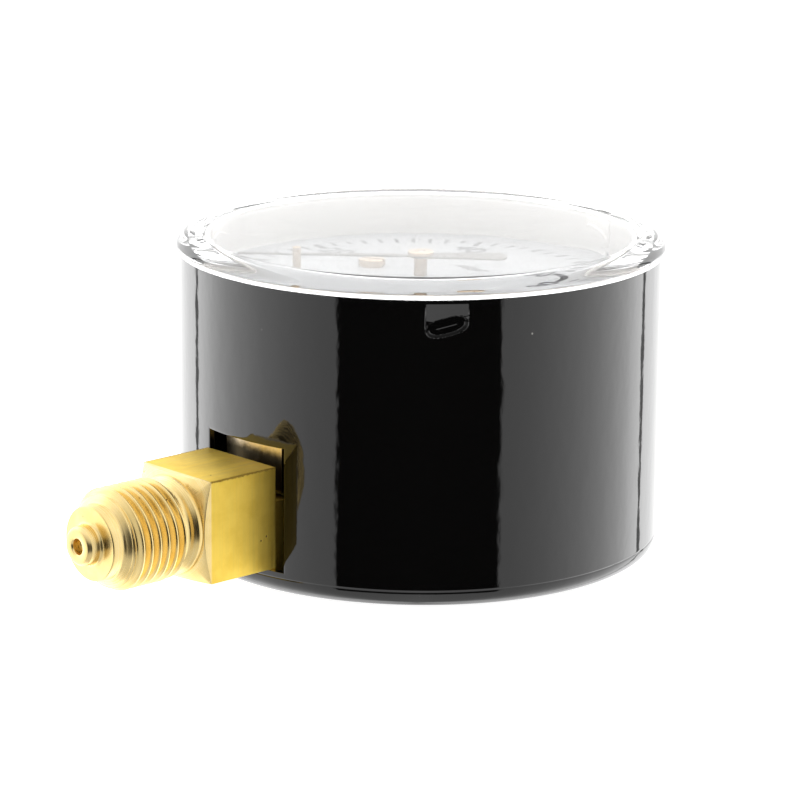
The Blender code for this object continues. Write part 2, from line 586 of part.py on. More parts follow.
def make_capsule(bronze, brass, seal):
    add("lower_diaphragm", turned(diaphragm_outline(-1), 32), bronze)
    add("upper_diaphragm", turned(diaphragm_outline(1), 32), bronze)
    dish = RIM_RISE[1] + CAPSULE_RISE
    floor = CAPSULE_RIM_Z - dish
    shoulder = CARRIER_FOOT_Z + CARRIER_FOOT_THICKNESS + SCREW_SEAT
    foot_radius, foot_z = BOSS_FOOT
    tube = [(BOSS_BORE_RADIUS, foot_z), (foot_radius, foot_z), (foot_radius, shoulder)]
    tube += [(BOSS_SHOULDER_RADIUS, shoulder), (BOSS_SHOULDER_RADIUS, floor - GAP)]
    tube += [(BOSS_RADIUS, floor - GAP)]
    tube += [(BOSS_RADIUS, floor + BOSS_RISE), (BOSS_BORE_RADIUS, floor + BOSS_RISE)]
    add("capsule_inlet", turned(tube, 24), brass)
    inside, outside = SEAL_RADII
    gasket = [(inside, SEAL_Z[0]), (outside, SEAL_Z[0]), (outside, SEAL_Z[1]), (inside, SEAL_Z[1])]
    add("capsule_seal", turned(gasket, 24), seal)
    crown = CAPSULE_RIM_Z + dish
    under, over, shoulder = (crown + rise for rise in POST_FLANGE_RISE)
    tip = POST_PIN_Z + POST_DEPTH
    post = [(0, crown - POST_DEPTH), (BOSS_RADIUS, crown - POST_DEPTH), (BOSS_RADIUS, under)]
    post += [(POST_FLANGE_RADIUS, under), (POST_FLANGE_RADIUS, over), (POST_RADIUS, shoulder)]
    post += [(POST_RADIUS, tip), (0, tip)]
    made = add("capsule_post", turned(post, 24), brass)
    cross = Matrix.Translation((0, 0, POST_PIN_Z)) @ TURN_TO_X
    combine(made, "DIFFERENCE", "post_hole_shape", prism(circle(LINK_PIN_HOLE, 16), -3 * MM, 3 * MM), cross)


def pin(name, place, low, high, radius, finish, origin):
    outline = [(0, low), (radius, low), (radius, high), (0, high)]
    return add(name, turned(outline, 16), finish, place, origin)


def make_linkage(brass, steel):
    """A link lifts one arm of the rocker; the rocker's other arm pushes the sector's tail sideways."""
    link_x = (POST_RADIUS + SIDE_GAP, POST_RADIUS + SIDE_GAP + LINK_THICKNESS)
    reach = ROCKER_Z - POST_PIN_Z
    outline = [(y, z + POST_PIN_Z + reach / 2) for z, y in stadium(reach + LINK_WIDTH, LINK_WIDTH)]
    holes = [circle(LINK_HOLE_RADIUS, 16, (0, z)) for z in (POST_PIN_Z, ROCKER_Z)]
    origin = (0, 0, POST_PIN_Z)
    add("lift_link", prism(outline, *link_x, holes), brass, YZ_TO_X, origin)
    place = Matrix.Translation((0, 0, POST_PIN_Z)) @ TURN_TO_X
    pin_reach = 2 * SIDE_GAP
    pin_low = -POST_RADIUS - pin_reach
    pin("link_pin_lower", place, pin_low, link_x[1] + pin_reach, LINK_PIN_RADIUS, steel, origin)
    pivot = (0, ROCKER_Y, ROCKER_Z)
    arm_x = (link_x[1] + SIDE_GAP, link_x[1] + SIDE_GAP + ARM_THICKNESS)
    place = Matrix.Translation((0, 0, ROCKER_Z)) @ TURN_TO_X
    pin_low = link_x[0] + SIDE_GAP / 3
    pin("link_pin_upper", place, pin_low, arm_x[1] + pin_reach, LINK_PIN_RADIUS, steel, pivot)
    length = LIFT_ARM_LENGTH
    shape = stadium(length + LIFT_ARM_WIDTH, LIFT_ARM_WIDTH, 6)
    outline = [(y + ROCKER_Y - length / 2, z + ROCKER_Z) for y, z in shape]
    holes = [circle(LINK_PIN_HOLE, 16, (0, ROCKER_Z)), circle(ARM_BORE_RADIUS, 20, (ROCKER_Y, ROCKER_Z))]
    add("lift_arm", prism(outline, *arm_x, holes), brass, YZ_TO_X, pivot)
    place = Matrix.Translation(pivot) @ TURN_TO_X
    start, left, right, end = ROCKER_ENDS
    thin, thick = ROCKER_PIVOT_RADIUS, ROCKER_RADIUS
    shaft = [(0, start), (thin, start), (thin, left), (thick, left)]
    shaft += [(thick, right), (thin, right), (thin, end), (0, end)]
    add("rocker_shaft", turned(shaft, 20), steel, place, pivot)
    lean = Matrix.Translation(pivot) @ Matrix.Rotation(math.radians(ROCKER_SWING / 2), 4, "X")
    outline = [(y, z + DRIVE_ARM_RISE) for z, y in stadium(*DRIVE_ARM)]
    half = ARM_THICKNESS / 2
    drive = prism(outline, DRIVE_ARM_X - half, DRIVE_ARM_X + half, [circle(ARM_BORE_RADIUS, 16)])
    arm = add("drive_arm", drive, brass, lean @ YZ_TO_X, pivot)
    finger = prism(circle(FINGER_RADIUS, 16, (DRIVE_ARM_X, 0)), *FINGER_SPAN)
    combine(arm, "UNION", "finger_shape", finger, lean)


def make_rocker_bracket(brass):
    """A channel under the lower plate, whose two ears carry the rocker's shaft."""
    top = LOWER_PLATE_Z[0] - GAP
    under = top - BRACKET_THICKNESS
    low = ROCKER_Z - BRACKET_DROP
    web_y = [ROCKER_Y + offset for offset in BRACKET_WEB]
    span = (BRACKET_EARS[0][0], BRACKET_EARS[1][1])
    bracket = add("rocker_bracket", box((span[0], web_y[0], under), (span[1], web_y[1], top)), brass)
    for side, ear in zip(("left", "right"), BRACKET_EARS):
        ear_end = web_y[1] - 0.5 * MM
        shape = box((ear[0], ROCKER_Y - BRACKET_HALF, low), (ear[1], ear_end, top - GAP))
        combine(bracket, "UNION", f"ear_{side}_shape", shape)
    along_x = Matrix.Translation((0, ROCKER_Y, ROCKER_Z)) @ TURN_TO_X
    radius = ROCKER_PIVOT_RADIUS + RUNNING_GAP
    hole = prism(circle(radius, 20), ROCKER_ENDS[0] - 1 * MM, ROCKER_ENDS[-1] + 1 * MM)
    combine(bracket, "DIFFERENCE", "shaft_hole_shape", hole, along_x)
    hole = prism(circle(NARROW_SCREW_HOLE, 16, BRACKET_SCREW_SPOT), under - 1 * MM, top + 1 * MM)
    combine(bracket, "DIFFERENCE", "bracket_hole_shape", hole)
    slotted_screw("bracket_screw", BRACKET_SCREW_SPOT, under, BRACKET_SCREW, brass, 15, under=True)


def make_plates(brass):
    pivots = (Vector((0, 0, 0)), SECTOR_CENTRE)
    pivot_hole = PIVOT_RADIUS + RUNNING_GAP
    outline = rounded_rectangle(*LOWER_PLATE_SPAN, PLATE_CORNER)
    holes = [circle(pivot_hole, 20, point) for point in pivots]
    holes += [circle(WIDE_SCREW_HOLE, 16, spot) for spot in LOWER_SCREW_SPOTS]
    holes += [circle(NARROW_SCREW_HOLE, 16, BRACKET_SCREW_SPOT)]
    half_x, half_y = FINGER_SLOT
    slot_low = (DRIVE_ARM_X - half_x, ROCKER_Y - half_y)
    slot_high = (DRIVE_ARM_X + half_x, ROCKER_Y + half_y)
    holes += [rounded_rectangle(slot_low, slot_high, 0.5 * MM)]
    add("lower_plate", prism(outline, *LOWER_PLATE_Z, holes), brass)
    outline = rounded_rectangle(*UPPER_PLATE_SPAN, PLATE_CORNER)
    holes = [circle(ARBOR_RADIUS + RUNNING_GAP, 20), circle(pivot_hole, 20, SECTOR_CENTRE)]
    holes += [circle(NARROW_SCREW_HOLE, 16, spot) for spot in PILLAR_SPOTS]
    add("upper_plate", prism(outline, *UPPER_PLATE_Z, holes), brass)
    low = LOWER_PLATE_Z[1] + GAP
    high = UPPER_PLATE_Z[0] - GAP
    for number, spot in enumerate(PILLAR_SPOTS, 1):
        ring = prism(circle(PILLAR_RADIUS, 20), low, high, [circle(NARROW_SCREW_HOLE - RUNNING_GAP, 16)])
        add(f"pillar_{number}", ring, brass, Matrix.Translation((*spot, 0)))
        slotted_screw(f"plate_screw_{number}", spot, UPPER_PLATE_Z[1], PLATE_SCREW, brass, 37 * number)
    for side, spot in zip(("left", "right"), LOWER_SCREW_SPOTS):
        slotted_screw(f"base_screw_{side}", spot, LOWER_PLATE_Z[1], BASE_SCREW, brass, 60)


def make_sector(brass, steel):
    rest = math.atan2(-SECTOR_CENTRE.y, -SECTOR_CENTRE.x)
    teeth = PINION_TEETH * SECTOR_RATIO
    cell = 2 * math.pi / teeth
    # At rest the first teeth mesh, and the swing brings the last ones round to the pinion.
    crown = gear_outline(GEAR_MODULE, teeth, rest, -SECTOR_TEETH_BEHIND, SECTOR_TEETH_AHEAD + 1)
    low_angle = rest - (SECTOR_TEETH_BEHIND + 0.5) * cell
    high_angle = rest + (SECTOR_TEETH_AHEAD + 0.5) * cell
    rim = SECTOR_PITCH_RADIUS - 1.1 * GEAR_MODULE
    crown.append((rim * math.cos(high_angle), rim * math.sin(high_angle)))
    hub = SECTOR_HUB_RADIUS
    tail_angle = -math.radians(SECTOR_SWING / 2)
    reach = TAIL_LENGTH + hub
    root = hub - GAP
    half = SECTOR_TAIL_HALF
    tail = [(root, half * 1.3), (reach, half), (reach, -half), (root, -half * 1.3)]
    turn = Matrix.Rotation(tail_angle, 2)
    tail = [tuple(turn @ Vector(point)) for point in reversed(tail)]
    round_hub = arc((0, 0), (hub, hub), math.degrees(low_angle) + 360, math.degrees(high_angle) + 30, 14)
    outline = crown + round_hub[::-1]
    holes = [circle(SECTOR_ARBOR_RADIUS + GAP / 2, 20)]
    place = Matrix.Translation(SECTOR_CENTRE)
    sector = add("sector_gear", prism(outline, *SECTOR_Z, holes), brass, place, SECTOR_CENTRE)
    arm = prism(tail, SECTOR_Z[0], SECTOR_Z[1] - GAP / 2)
    combine(sector, "UNION", "tail_arm_shape", arm, place)
    slot_turn = place @ Matrix.Rotation(tail_angle, 4, "Z") @ Matrix.Translation((TAIL_LENGTH, 0, 0))
    slot = prism(stadium(*TAIL_SLOT), SECTOR_Z[0] - 1 * MM, SECTOR_Z[1] + 1 * MM)
    combine(sector, "DIFFERENCE", "tail_slot_shape", slot, slot_turn)
    start, shoulder = (z + GAP for z in LOWER_PLATE_Z)
    collar, end = (z - GAP for z in UPPER_PLATE_Z)
    thin, thick = PIVOT_RADIUS, SECTOR_ARBOR_RADIUS
    shaft = [(0, start), (thin, start), (thin, shoulder), (thick, shoulder)]
    shaft += [(thick, collar), (thin, collar), (thin, end), (0, end)]
    add("sector_arbor", turned(shaft, 20), steel, place, SECTOR_CENTRE)


def make_pinion(steel, brass, spring):
    low, shoulder = (z + GAP for z in LOWER_PLATE_Z)
    top = HUB_CAP_Z[1] - GAP
    thin, thick, tip = PIVOT_RADIUS, ARBOR_RADIUS, HUB_BORE_RADIUS - GAP / 2
    shaft = [(0, low), (thin, low), (thin, shoulder), (thick, shoulder)]
    shaft += [(thick, UPPER_PLATE_Z[1] + 0.6 * MM), (tip, UPPER_PLATE_Z[1] + 0.9 * MM), (tip, top), (0, top)]
    arbor = add("pinion_arbor", turned(shaft, 20), steel)
    towards = math.atan2(SECTOR_CENTRE.y, SECTOR_CENTRE.x)
    half_cell = math.pi / PINION_TEETH
    teeth = gear_outline(GEAR_MODULE, PINION_TEETH, towards + half_cell, 0, PINION_TEETH)
    combine(arbor, "UNION", "pinion_shape", prism(teeth, *PINION_Z))
    bore, outside = COLLET_RADII
    add("hairspring_collet", prism(circle(outside, 24), *COLLET_Z, [circle(bore, 20)]), brass)
    steps = 20
    inner, outer = HAIRSPRING_RADII
    half = HAIRSPRING_HALF
    path = []
    for i in range(HAIRSPRING_TURNS * steps + 1):
        angle = 2 * math.pi * i / steps
        radius = inner + (outer - inner) * i / (HAIRSPRING_TURNS * steps)
        path.append((angle, radius))
    outline = [((r + half) * math.cos(a), (r + half) * math.sin(a)) for a, r in path]
    outline += [((r - half) * math.cos(a), (r - half) * math.sin(a)) for a, r in reversed(path)]
    add("hairspring", prism(outline, *HAIRSPRING_Z), spring)
    stud = prism(circle(STUD_RADIUS, 16, (outer + STUD_OFFSET, 0)), STUD_LOW_Z, UPPER_PLATE_Z[0] - GAP / 2)
    add("hairspring_stud", stud, brass)


def make_pointer(paint, brass):
    direction = Matrix.Rotation(math.radians(90 - ZERO_CLOCK), 4, "Z")
    boss = arc((0, 0), (POINTER_BOSS_RADIUS, POINTER_BOSS_RADIUS), 25, 110, 6)
    upper = [(POINTER_TIP, POINTER_TIP_HALF), POINTER_ROOT, *boss, (-TAIL_NECK[0], TAIL_NECK[1])]
    upper += arc((-POINTER_TAIL + TAIL_END[0], 0), TAIL_END, 90, 165, 4)
    outline = upper + [(x, -y) for x, y in reversed(upper)]
    blade = prism(outline, *POINTER_Z, [circle(HUB_BUSH_RADIUS + GAP / 2, 20)])
    add("pointer", blade, paint, direction)
    base = DIAL_TOP_Z + HUB_ABOVE_DIAL
    bore, bush, cap = HUB_BORE_RADIUS, HUB_BUSH_RADIUS, HUB_CAP_RADIUS
    hub = [(bore, base), (bush, base), (bush, HUB_CAP_Z[0])]
    hub += [(cap, HUB_CAP_Z[0]), (cap, HUB_CAP_Z[1] - HUB_CAP_EDGE)]
    hub += [(cap - HUB_CAP_EDGE, HUB_CAP_Z[1]), (bore, HUB_CAP_Z[1])]
    add("pointer_hub", turned(hub, 20), brass)


def main():
    for old in list(bpy.data.objects):
        bpy.data.objects.remove(old)
    paint = material("black_paint", (0.01, 0.01, 0.011), 0.0, 0.12)
    clear = material("clear_plastic", (0.95, 0.96, 0.97), 0.0, 0.03, 1.0)
    white = material("dial_white", (0.85, 0.86, 0.87), 0.0, 0.35)
    brass = material("brass", (0.78, 0.58, 0.22), 1.0, 0.28)
    steel = material("steel", (0.62, 0.62, 0.6), 1.0, 0.25)
    bronze = material("bronze", (0.72, 0.5, 0.3), 1.0, 0.3)
    spring = material("spring_bronze", (0.75, 0.52, 0.25), 1.0, 0.25)
    needle = material("pointer_lacquer", (0.45, 0.42, 0.37), 0.0, 0.4)
    seal = material("seal_fibre", (0.3, 0.12, 0.08), 0.0, 0.7)
    make_case(paint)
    make_window(clear)
    make_dial(white, brass)
    make_dial_fixings(brass)
    make_socket(brass)
    make_socket_screws(steel)
    make_carrier(brass)
    make_capsule(bronze, brass, seal)
    make_linkage(brass, steel)
    make_rocker_bracket(brass)
    make_plates(brass)
    make_sector(brass, steel)
    make_pinion(steel, brass, spring)
    make_pointer(needle, brass)


main()
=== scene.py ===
"""A 63 mm dial gauge lying on its back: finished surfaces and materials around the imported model."""

import math

import bmesh
import bpy
import numpy as np
from mathutils import Matrix, Vector
from mathutils.geometry import tessellate_polygon


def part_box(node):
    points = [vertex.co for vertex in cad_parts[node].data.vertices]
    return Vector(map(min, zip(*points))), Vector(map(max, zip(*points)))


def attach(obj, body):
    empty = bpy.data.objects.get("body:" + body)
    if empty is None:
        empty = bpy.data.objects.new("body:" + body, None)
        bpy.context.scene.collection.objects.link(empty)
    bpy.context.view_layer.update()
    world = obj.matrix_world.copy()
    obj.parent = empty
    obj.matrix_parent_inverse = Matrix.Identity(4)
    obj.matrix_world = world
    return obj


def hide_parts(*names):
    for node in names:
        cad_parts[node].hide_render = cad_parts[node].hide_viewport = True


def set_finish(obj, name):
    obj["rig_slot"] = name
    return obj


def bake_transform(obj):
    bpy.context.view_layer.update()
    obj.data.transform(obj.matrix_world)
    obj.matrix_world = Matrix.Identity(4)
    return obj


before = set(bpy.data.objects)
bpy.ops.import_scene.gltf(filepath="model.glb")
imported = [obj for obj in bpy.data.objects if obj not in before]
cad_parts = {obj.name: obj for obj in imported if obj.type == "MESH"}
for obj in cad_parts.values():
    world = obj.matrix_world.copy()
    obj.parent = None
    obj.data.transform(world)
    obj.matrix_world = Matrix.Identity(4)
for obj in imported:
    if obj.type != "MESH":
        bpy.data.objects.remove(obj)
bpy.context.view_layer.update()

MM = 0.001

# ---------------------------------------------------------------- places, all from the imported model
CASE_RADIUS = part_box("case")[1].x
WINDOW_LOW, WINDOW_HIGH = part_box("window")
DIAL_LOW, DIAL_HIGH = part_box("dial")
SOCKET_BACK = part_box("socket")[1].y
CARRIER_LOW, CARRIER_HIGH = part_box("carrier")
PIN_LOW, PIN_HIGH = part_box("stop_pin")
POINTER_LOW, POINTER_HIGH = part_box("pointer")
HUB_LOW, HUB_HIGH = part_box("pointer_hub")

FLANGE_RADIUS = WINDOW_HIGH.x
LENS_TOP = WINDOW_HIGH.z
DIAL_RADIUS = DIAL_HIGH.x
DIAL_TOP = DIAL_HIGH.z

# ---------------------------------------------------------------- sizes the box does not give
CASE_WALL = 0.8 * MM
CASE_CORNER = 2.0 * MM
CASE_INNER_CORNER = 0.5 * MM
RIM_ROLL = 0.12 * MM
BASE_LINE_Z = CASE_CORNER + 0.25 * MM
BASE_LINE_DEPTH = 0.06 * MM
BASE_LINE_WIDTH = 0.08 * MM
CUTOUT_X = (-6.55 * MM, 7.5 * MM)
CUTOUT_Z = (3.0 * MM, 19.25 * MM)
DIMPLE_ANGLES = (-37.7, 82.3, 202.3)
DIMPLE_Z = 36.2 * MM
DIMPLE_LENGTH = 5.3 * MM
DIMPLE_WIDTH = 2.3 * MM
DIMPLE_TILT = math.radians(14)
DIMPLE_DEPTH = 0.75 * MM
APRON_TOP = 39.15 * MM
APRON_DEPTH = 0.34 * MM
BACK_SCREW_Y = (-23.0 * MM, -9.0 * MM)
COUNTERSINK_RADII = (2.9 * MM, 2.1 * MM)

FLANGE_Z = 39.65 * MM
FLANGE_EDGE = 0.5 * MM
RIM_Z = FLANGE_Z - 0.03 * MM
CREASE_RADIUS = 28.6 * MM
LENS_UNDER = 39.95 * MM
SKIRT_RADII = (28.3 * MM, 29.7 * MM)
SKIRT_Z = WINDOW_LOW.z
LUG_RADIUS = 30.4 * MM
LUG_TOP = 34.5 * MM
LUG_HALF_ANGLE = 7.2

SCALE_RADIUS = 25.2 * MM
SCALE_START = 225.0
SCALE_SWEEP = 270.0
SCALE_STEPS = 50
SCALE_TOP_VALUE = 100
NUMBER_RADIUS = 19.9 * MM
SCREW_HEAD_HEIGHT = 0.9 * MM
SCREW_SHANK_RADIUS = 0.95 * MM
POINTER_TIP = 24.0 * MM
POINTER_TAIL = 11.3 * MM

STEM_Z = 10.2 * MM
BLOCK_WIDTH = 13.0 * MM
BLOCK_HEIGHT = 13.2 * MM
BLOCK_SPAN = (31.1 * MM, 42.9 * MM)
BLOCK_CORNER_SPAN = 41.65 * MM
TAIL_HALF_WIDTH = 5.3 * MM
TAIL_Z = (1.1 * MM, 11.9 * MM)
CARRIER_SCREWS = [(x, -23.5 * MM) for x in (-3.0 * MM, 3.0 * MM)]
CARRIER_SCREW_RADIUS = 1.05 * MM

THREAD_PITCH = 1.337 * MM
THREAD_CREST = 6.55 * MM
THREAD_ROOT = 5.72 * MM
THREAD_SPAN = (45.1 * MM, 53.6 * MM)
THREAD_END_RADIUS = 5.62 * MM


# ---------------------------------------------------------------- node helpers
class Nodes:
    """A short way to write a node tree: every method adds a node and gives its output back."""

    def __init__(self, tree):
        self.tree = tree

    def add(self, kind, **inputs):
        node = self.tree.nodes.new(kind)
        for key, value in inputs.items():
            self.feed(node.inputs[key.replace("_", " ")], value)
        return node

    def feed(self, socket, value):
        if isinstance(value, bpy.types.NodeSocket):
            self.tree.links.new(value, socket)
        elif socket.type == "RGBA" and len(value) == 3:
            socket.default_value = (*value, 1)
        else:
            socket.default_value = value

    def math(self, operation, *values, clamp=False):
        node = self.tree.nodes.new("ShaderNodeMath")
        node.operation = operation
        node.use_clamp = clamp
        for socket, value in zip(node.inputs, values):
            self.feed(socket, value)
        return node.outputs[0]

    def scaled(self, vector, scale):
        node = self.tree.nodes.new("ShaderNodeVectorMath")
        node.operation = "MULTIPLY"
        self.feed(node.inputs[0], vector)
        node.inputs[1].default_value = scale
        return node.outputs[0]

    def noise(self, vector, scale, detail=2.0, roughness=0.5):
        sockets = {"Vector": vector, "Scale": scale, "Detail": detail, "Roughness": roughness}
        return self.add("ShaderNodeTexNoise", **sockets).outputs["Fac"]

    def cells(self, vector, scale, feature="F1"):
        node = self.tree.nodes.new("ShaderNodeTexVoronoi")
        node.feature = feature
        self.feed(node.inputs["Vector"], vector)
        node.inputs["Scale"].default_value = scale
        return node

    def span(self, value, low, high, to_low=0.0, to_high=1.0):
        node = self.tree.nodes.new("ShaderNodeMapRange")
        node.interpolation_type = "SMOOTHSTEP"
        for socket, item in zip(node.inputs, (value, low, high, to_low, to_high)):
            self.feed(socket, item)
        return node.outputs[0]

    def mix(self, share, first, second):
        node = self.tree.nodes.new("ShaderNodeMix")
        node.data_type = "RGBA"
        self.feed(node.inputs[0], share)
        self.feed(node.inputs[6], first)
        self.feed(node.inputs[7], second)
        return node.outputs[2]

    def blend(self, share, first, second):
        node = self.tree.nodes.new("ShaderNodeMix")
        self.feed(node.inputs[0], share)
        self.feed(node.inputs[2], first)
        self.feed(node.inputs[3], second)
        return node.outputs[0]

    def bump(self, height, strength, distance, normal=None):
        node = self.add("ShaderNodeBump", Height=height, Strength=strength, Distance=distance)
        if normal is not None:
            self.tree.links.new(normal, node.inputs["Normal"])
        return node.outputs[0]


def finish_of(name, **sockets):
    """A new Principled material, its node helper, its shader and the object coordinates in metres."""
    made = bpy.data.materials.new(name)
    made.use_nodes = True
    tree = made.node_tree
    shader = tree.nodes["Principled BSDF"]
    for key, value in sockets.items():
        socket = shader.inputs[key.replace("_", " ")]
        socket.default_value = (*value, 1) if socket.type == "RGBA" and len(value) == 3 else value
    place = tree.nodes.new("ShaderNodeTexCoord").outputs["Object"]
    return made, Nodes(tree), shader, place


def wire(nodes, shader, key, value):
    nodes.tree.links.new(value, shader.inputs[key])


def split(nodes, vector):
    return nodes.add("ShaderNodeSeparateXYZ", Vector=vector).outputs


# ---------------------------------------------------------------- materials
# heights where the painted shade low inside the case gives way to the light plated wall
INSIDE_SHADE_EDGE = (21.5 * MM, 23.5 * MM)
BURR_END = (-42.4 * MM, -41.8 * MM)
# heights where the strip's painted brown shade gives way to its painted pale reflection
STRIP_SHADE_EDGE = (17.0 * MM, 18.6 * MM)


def black_enamel():
    made, n, shader, place = finish_of("black_enamel", IOR=1.7)
    peel = n.noise(n.scaled(place, (1, 1, 0.55)), 420, 2.0, 0.45)
    grain = n.noise(place, 5200, 2.0)
    dust = n.cells(place, 330)
    fleck = n.span(dust.outputs["Distance"], 0.045, 0.075, 1.0, 0.0)
    rare = n.span(n.noise(place, 190, 1.0), 0.60, 0.64)
    dusty = n.math("MULTIPLY", fleck, rare)
    wire(n, shader, "Base Color", n.mix(dusty, (0.0011, 0.0010, 0.0010), (0.30, 0.29, 0.27)))
    wear = n.noise(n.scaled(place, (1, 1, 0.3)), 160, 3.0)
    rough = n.span(wear, 0.35, 0.75, 0.035, 0.06)
    wire(n, shader, "Roughness", n.math("ADD", rough, n.math("MULTIPLY", dusty, 0.4)))
    fine = n.bump(grain, 0.02, 0.00002)
    ripple = n.bump(n.noise(n.scaled(place, (1, 1, 0.8)), 1500, 3.0, 0.6), 0.03, 0.0001, fine)
    wire(n, shader, "Normal", n.bump(peel, 0.075, 0.00035, ripple))
    return made


def plated_inside():
    made, n, shader, place = finish_of("plated_inside", Metallic=0.0)
    cloud = n.noise(place, 120, 4.0)
    light = n.mix(cloud, (0.88, 0.88, 0.80), (0.94, 0.87, 0.84))
    # painted shade: the inside wall is painted near black below this height band, for the shade deep
    # inside the case, and light above it
    high = n.span(split(n, place)[2], *INSIDE_SHADE_EDGE)
    wire(n, shader, "Base Color", n.mix(high, (0.012, 0.012, 0.012), light))
    wire(n, shader, "Roughness", n.span(n.noise(place, 900, 2.0), 0.3, 0.7, 0.3, 0.5))
    wire(n, shader, "Normal", n.bump(n.noise(place, 2600, 3.0), 0.1, 0.00004))
    return made


def clear_plastic():
    made, n, shader, place = finish_of(
        "clear_plastic", Base_Color=(0.996, 0.998, 1.0), IOR=1.49, Transmission_Weight=1.0
    )
    haze = n.noise(place, 260, 3.0)
    wire(n, shader, "Roughness", n.span(haze, 0.45, 0.8, 0.0, 0.02))
    flow = n.noise(n.scaled(place, (1, 1, 0.4)), 150, 1.0)
    wire(n, shader, "Normal", n.bump(flow, 0.03, 0.0002))
    return made


def dial_enamel():
    made, n, shader, place = finish_of("dial_enamel", Specular_IOR_Level=0.12)
    cloud = n.noise(place, 90, 3.0)
    wire(n, shader, "Base Color", n.mix(cloud, (0.345, 0.35, 0.355), (0.38, 0.38, 0.382)))
    wire(n, shader, "Roughness", n.span(n.noise(place, 1500, 2.0), 0.3, 0.7, 0.6, 0.75))
    wire(n, shader, "Normal", n.bump(n.noise(place, 3200, 2.0), 0.08, 0.00002))
    return made


def print_ink():
    made, n, shader, place = finish_of("print_ink", Specular_IOR_Level=0.05)
    density = n.noise(place, 1400, 3.0)
    wire(n, shader, "Base Color", n.mix(density, (0.012, 0.012, 0.014), (0.05, 0.05, 0.055)))
    wire(n, shader, "Roughness", n.span(n.noise(place, 2200, 2.0), 0.3, 0.7, 0.75, 0.9))
    return made


def machined_brass():
    """Brass bar: brushed flats, turned neck and thread, darkened burrs along the block's edges."""
    made, n, shader, place = finish_of("machined_brass", Metallic=1.0)
    x, y, z = split(n, place)
    facing = n.tree.nodes.new("ShaderNodeNewGeometry").outputs["Normal"]
    upward = n.math("ABSOLUTE", split(n, facing)[2])
    along_stem = n.noise(n.scaled(place, (3000, 90, 90)), 1.0, 4.0, 0.6)
    across = n.noise(n.scaled(place, (90, 3000, 110)), 1.0, 4.0, 0.6)
    broad = n.noise(n.scaled(place, (60, 900, 30)), 1.0, 2.0)
    brush = n.math("ADD", n.math("MULTIPLY", across, 0.8), n.math("MULTIPLY", broad, 0.35))
    is_top = n.span(upward, 0.75, 0.9)
    flat_marks = n.blend(is_top, brush, along_stem)
    rings = n.noise(n.scaled(place, (30, 5200, 30)), 1.0, 3.0, 0.6)
    turned_part = n.span(y, -BLOCK_CORNER_SPAN + 0.1 * MM, -BLOCK_CORNER_SPAN - 0.2 * MM)
    marks = n.blend(turned_part, flat_marks, rings)
    stain = n.noise(place, 330, 5.0, 0.6)
    stained = n.span(stain, 0.35, 0.7)
    milled = n.mix(stained, (0.95, 0.70, 0.13), (0.87, 0.62, 0.10))
    # painted highlight: the turned neck and thread get a paler, bluer brass than the milled flats,
    # standing in for their washed-out highlights
    pale_turned_highlight = n.mix(stained, (0.90, 0.70, 0.33), (0.83, 0.62, 0.26))
    colour = n.mix(turned_part, milled, pale_turned_highlight)
    scored = n.math("MULTIPLY", n.span(marks, 0.3, 0.7, 1.0, 0.0), 0.22)
    colour = n.mix(scored, colour, (0.55, 0.38, 0.07))
    edge_x = n.math("SUBTRACT", BLOCK_WIDTH / 2, n.math("ABSOLUTE", x))
    edge_z = n.math("SUBTRACT", STEM_Z + BLOCK_HEIGHT / 2, z)
    off_edge = n.math("ADD", n.math("ABSOLUTE", edge_x), n.math("ABSOLUTE", edge_z))
    ragged = n.math("MULTIPLY", n.noise(n.scaled(place, (1, 1.6, 1.6)), 1500, 4.0, 0.7), 0.00052)
    burr = n.span(n.math("SUBTRACT", off_edge, ragged), -0.00016, 0.00002, 1.0, 0.0)
    burr = n.math("MULTIPLY", burr, n.span(y, *BURR_END))
    pits = n.cells(place, 520)
    pit = n.span(pits.outputs["Distance"], 0.05, 0.10, 1.0, 0.0)
    pit = n.math("MULTIPLY", pit, n.span(n.noise(place, 240, 1.0), 0.56, 0.60))
    dark = n.math("MAXIMUM", n.math("MULTIPLY", burr, 0.65), pit, clamp=True)
    colour = n.mix(dark, colour, (0.16, 0.085, 0.025))
    wire(n, shader, "Base Color", colour)
    rough = n.math("ADD", n.span(marks, 0.25, 0.75, 0.46, 0.58), n.math("MULTIPLY", dark, 0.3))
    smoother = n.math("MULTIPLY", turned_part, -0.26)
    wire(n, shader, "Roughness", n.math("ADD", rough, smoother))
    shallow = n.bump(marks, 0.22, 0.00003)
    wire(n, shader, "Normal", n.bump(n.math("MULTIPLY", dark, -1.0), 0.5, 0.0001, shallow))
    return made


def plain_metal(name, light, dark, rough, stretch, metallic=1.0, sheen=0.5):
    """Stamped, turned or drawn stock: a slow tint, directional marks and uneven polish."""
    made, n, shader, place = finish_of(name, Metallic=metallic, Specular_IOR_Level=sheen)
    tint = n.noise(place, 260, 4.0)
    marks = n.noise(n.scaled(place, stretch), 1.0, 3.0, 0.6)
    colour = n.mix(n.span(tint, 0.3, 0.7), light, dark)
    scored = n.math("MULTIPLY", n.span(marks, 0.35, 0.7), 0.25)
    colour = n.mix(scored, colour, tuple(0.6 * channel for channel in dark))
    wire(n, shader, "Base Color", colour)
    wire(n, shader, "Roughness", n.span(marks, 0.25, 0.75, rough[0], rough[1]))
    wire(n, shader, "Normal", n.bump(marks, 0.25, 0.00003))
    return made


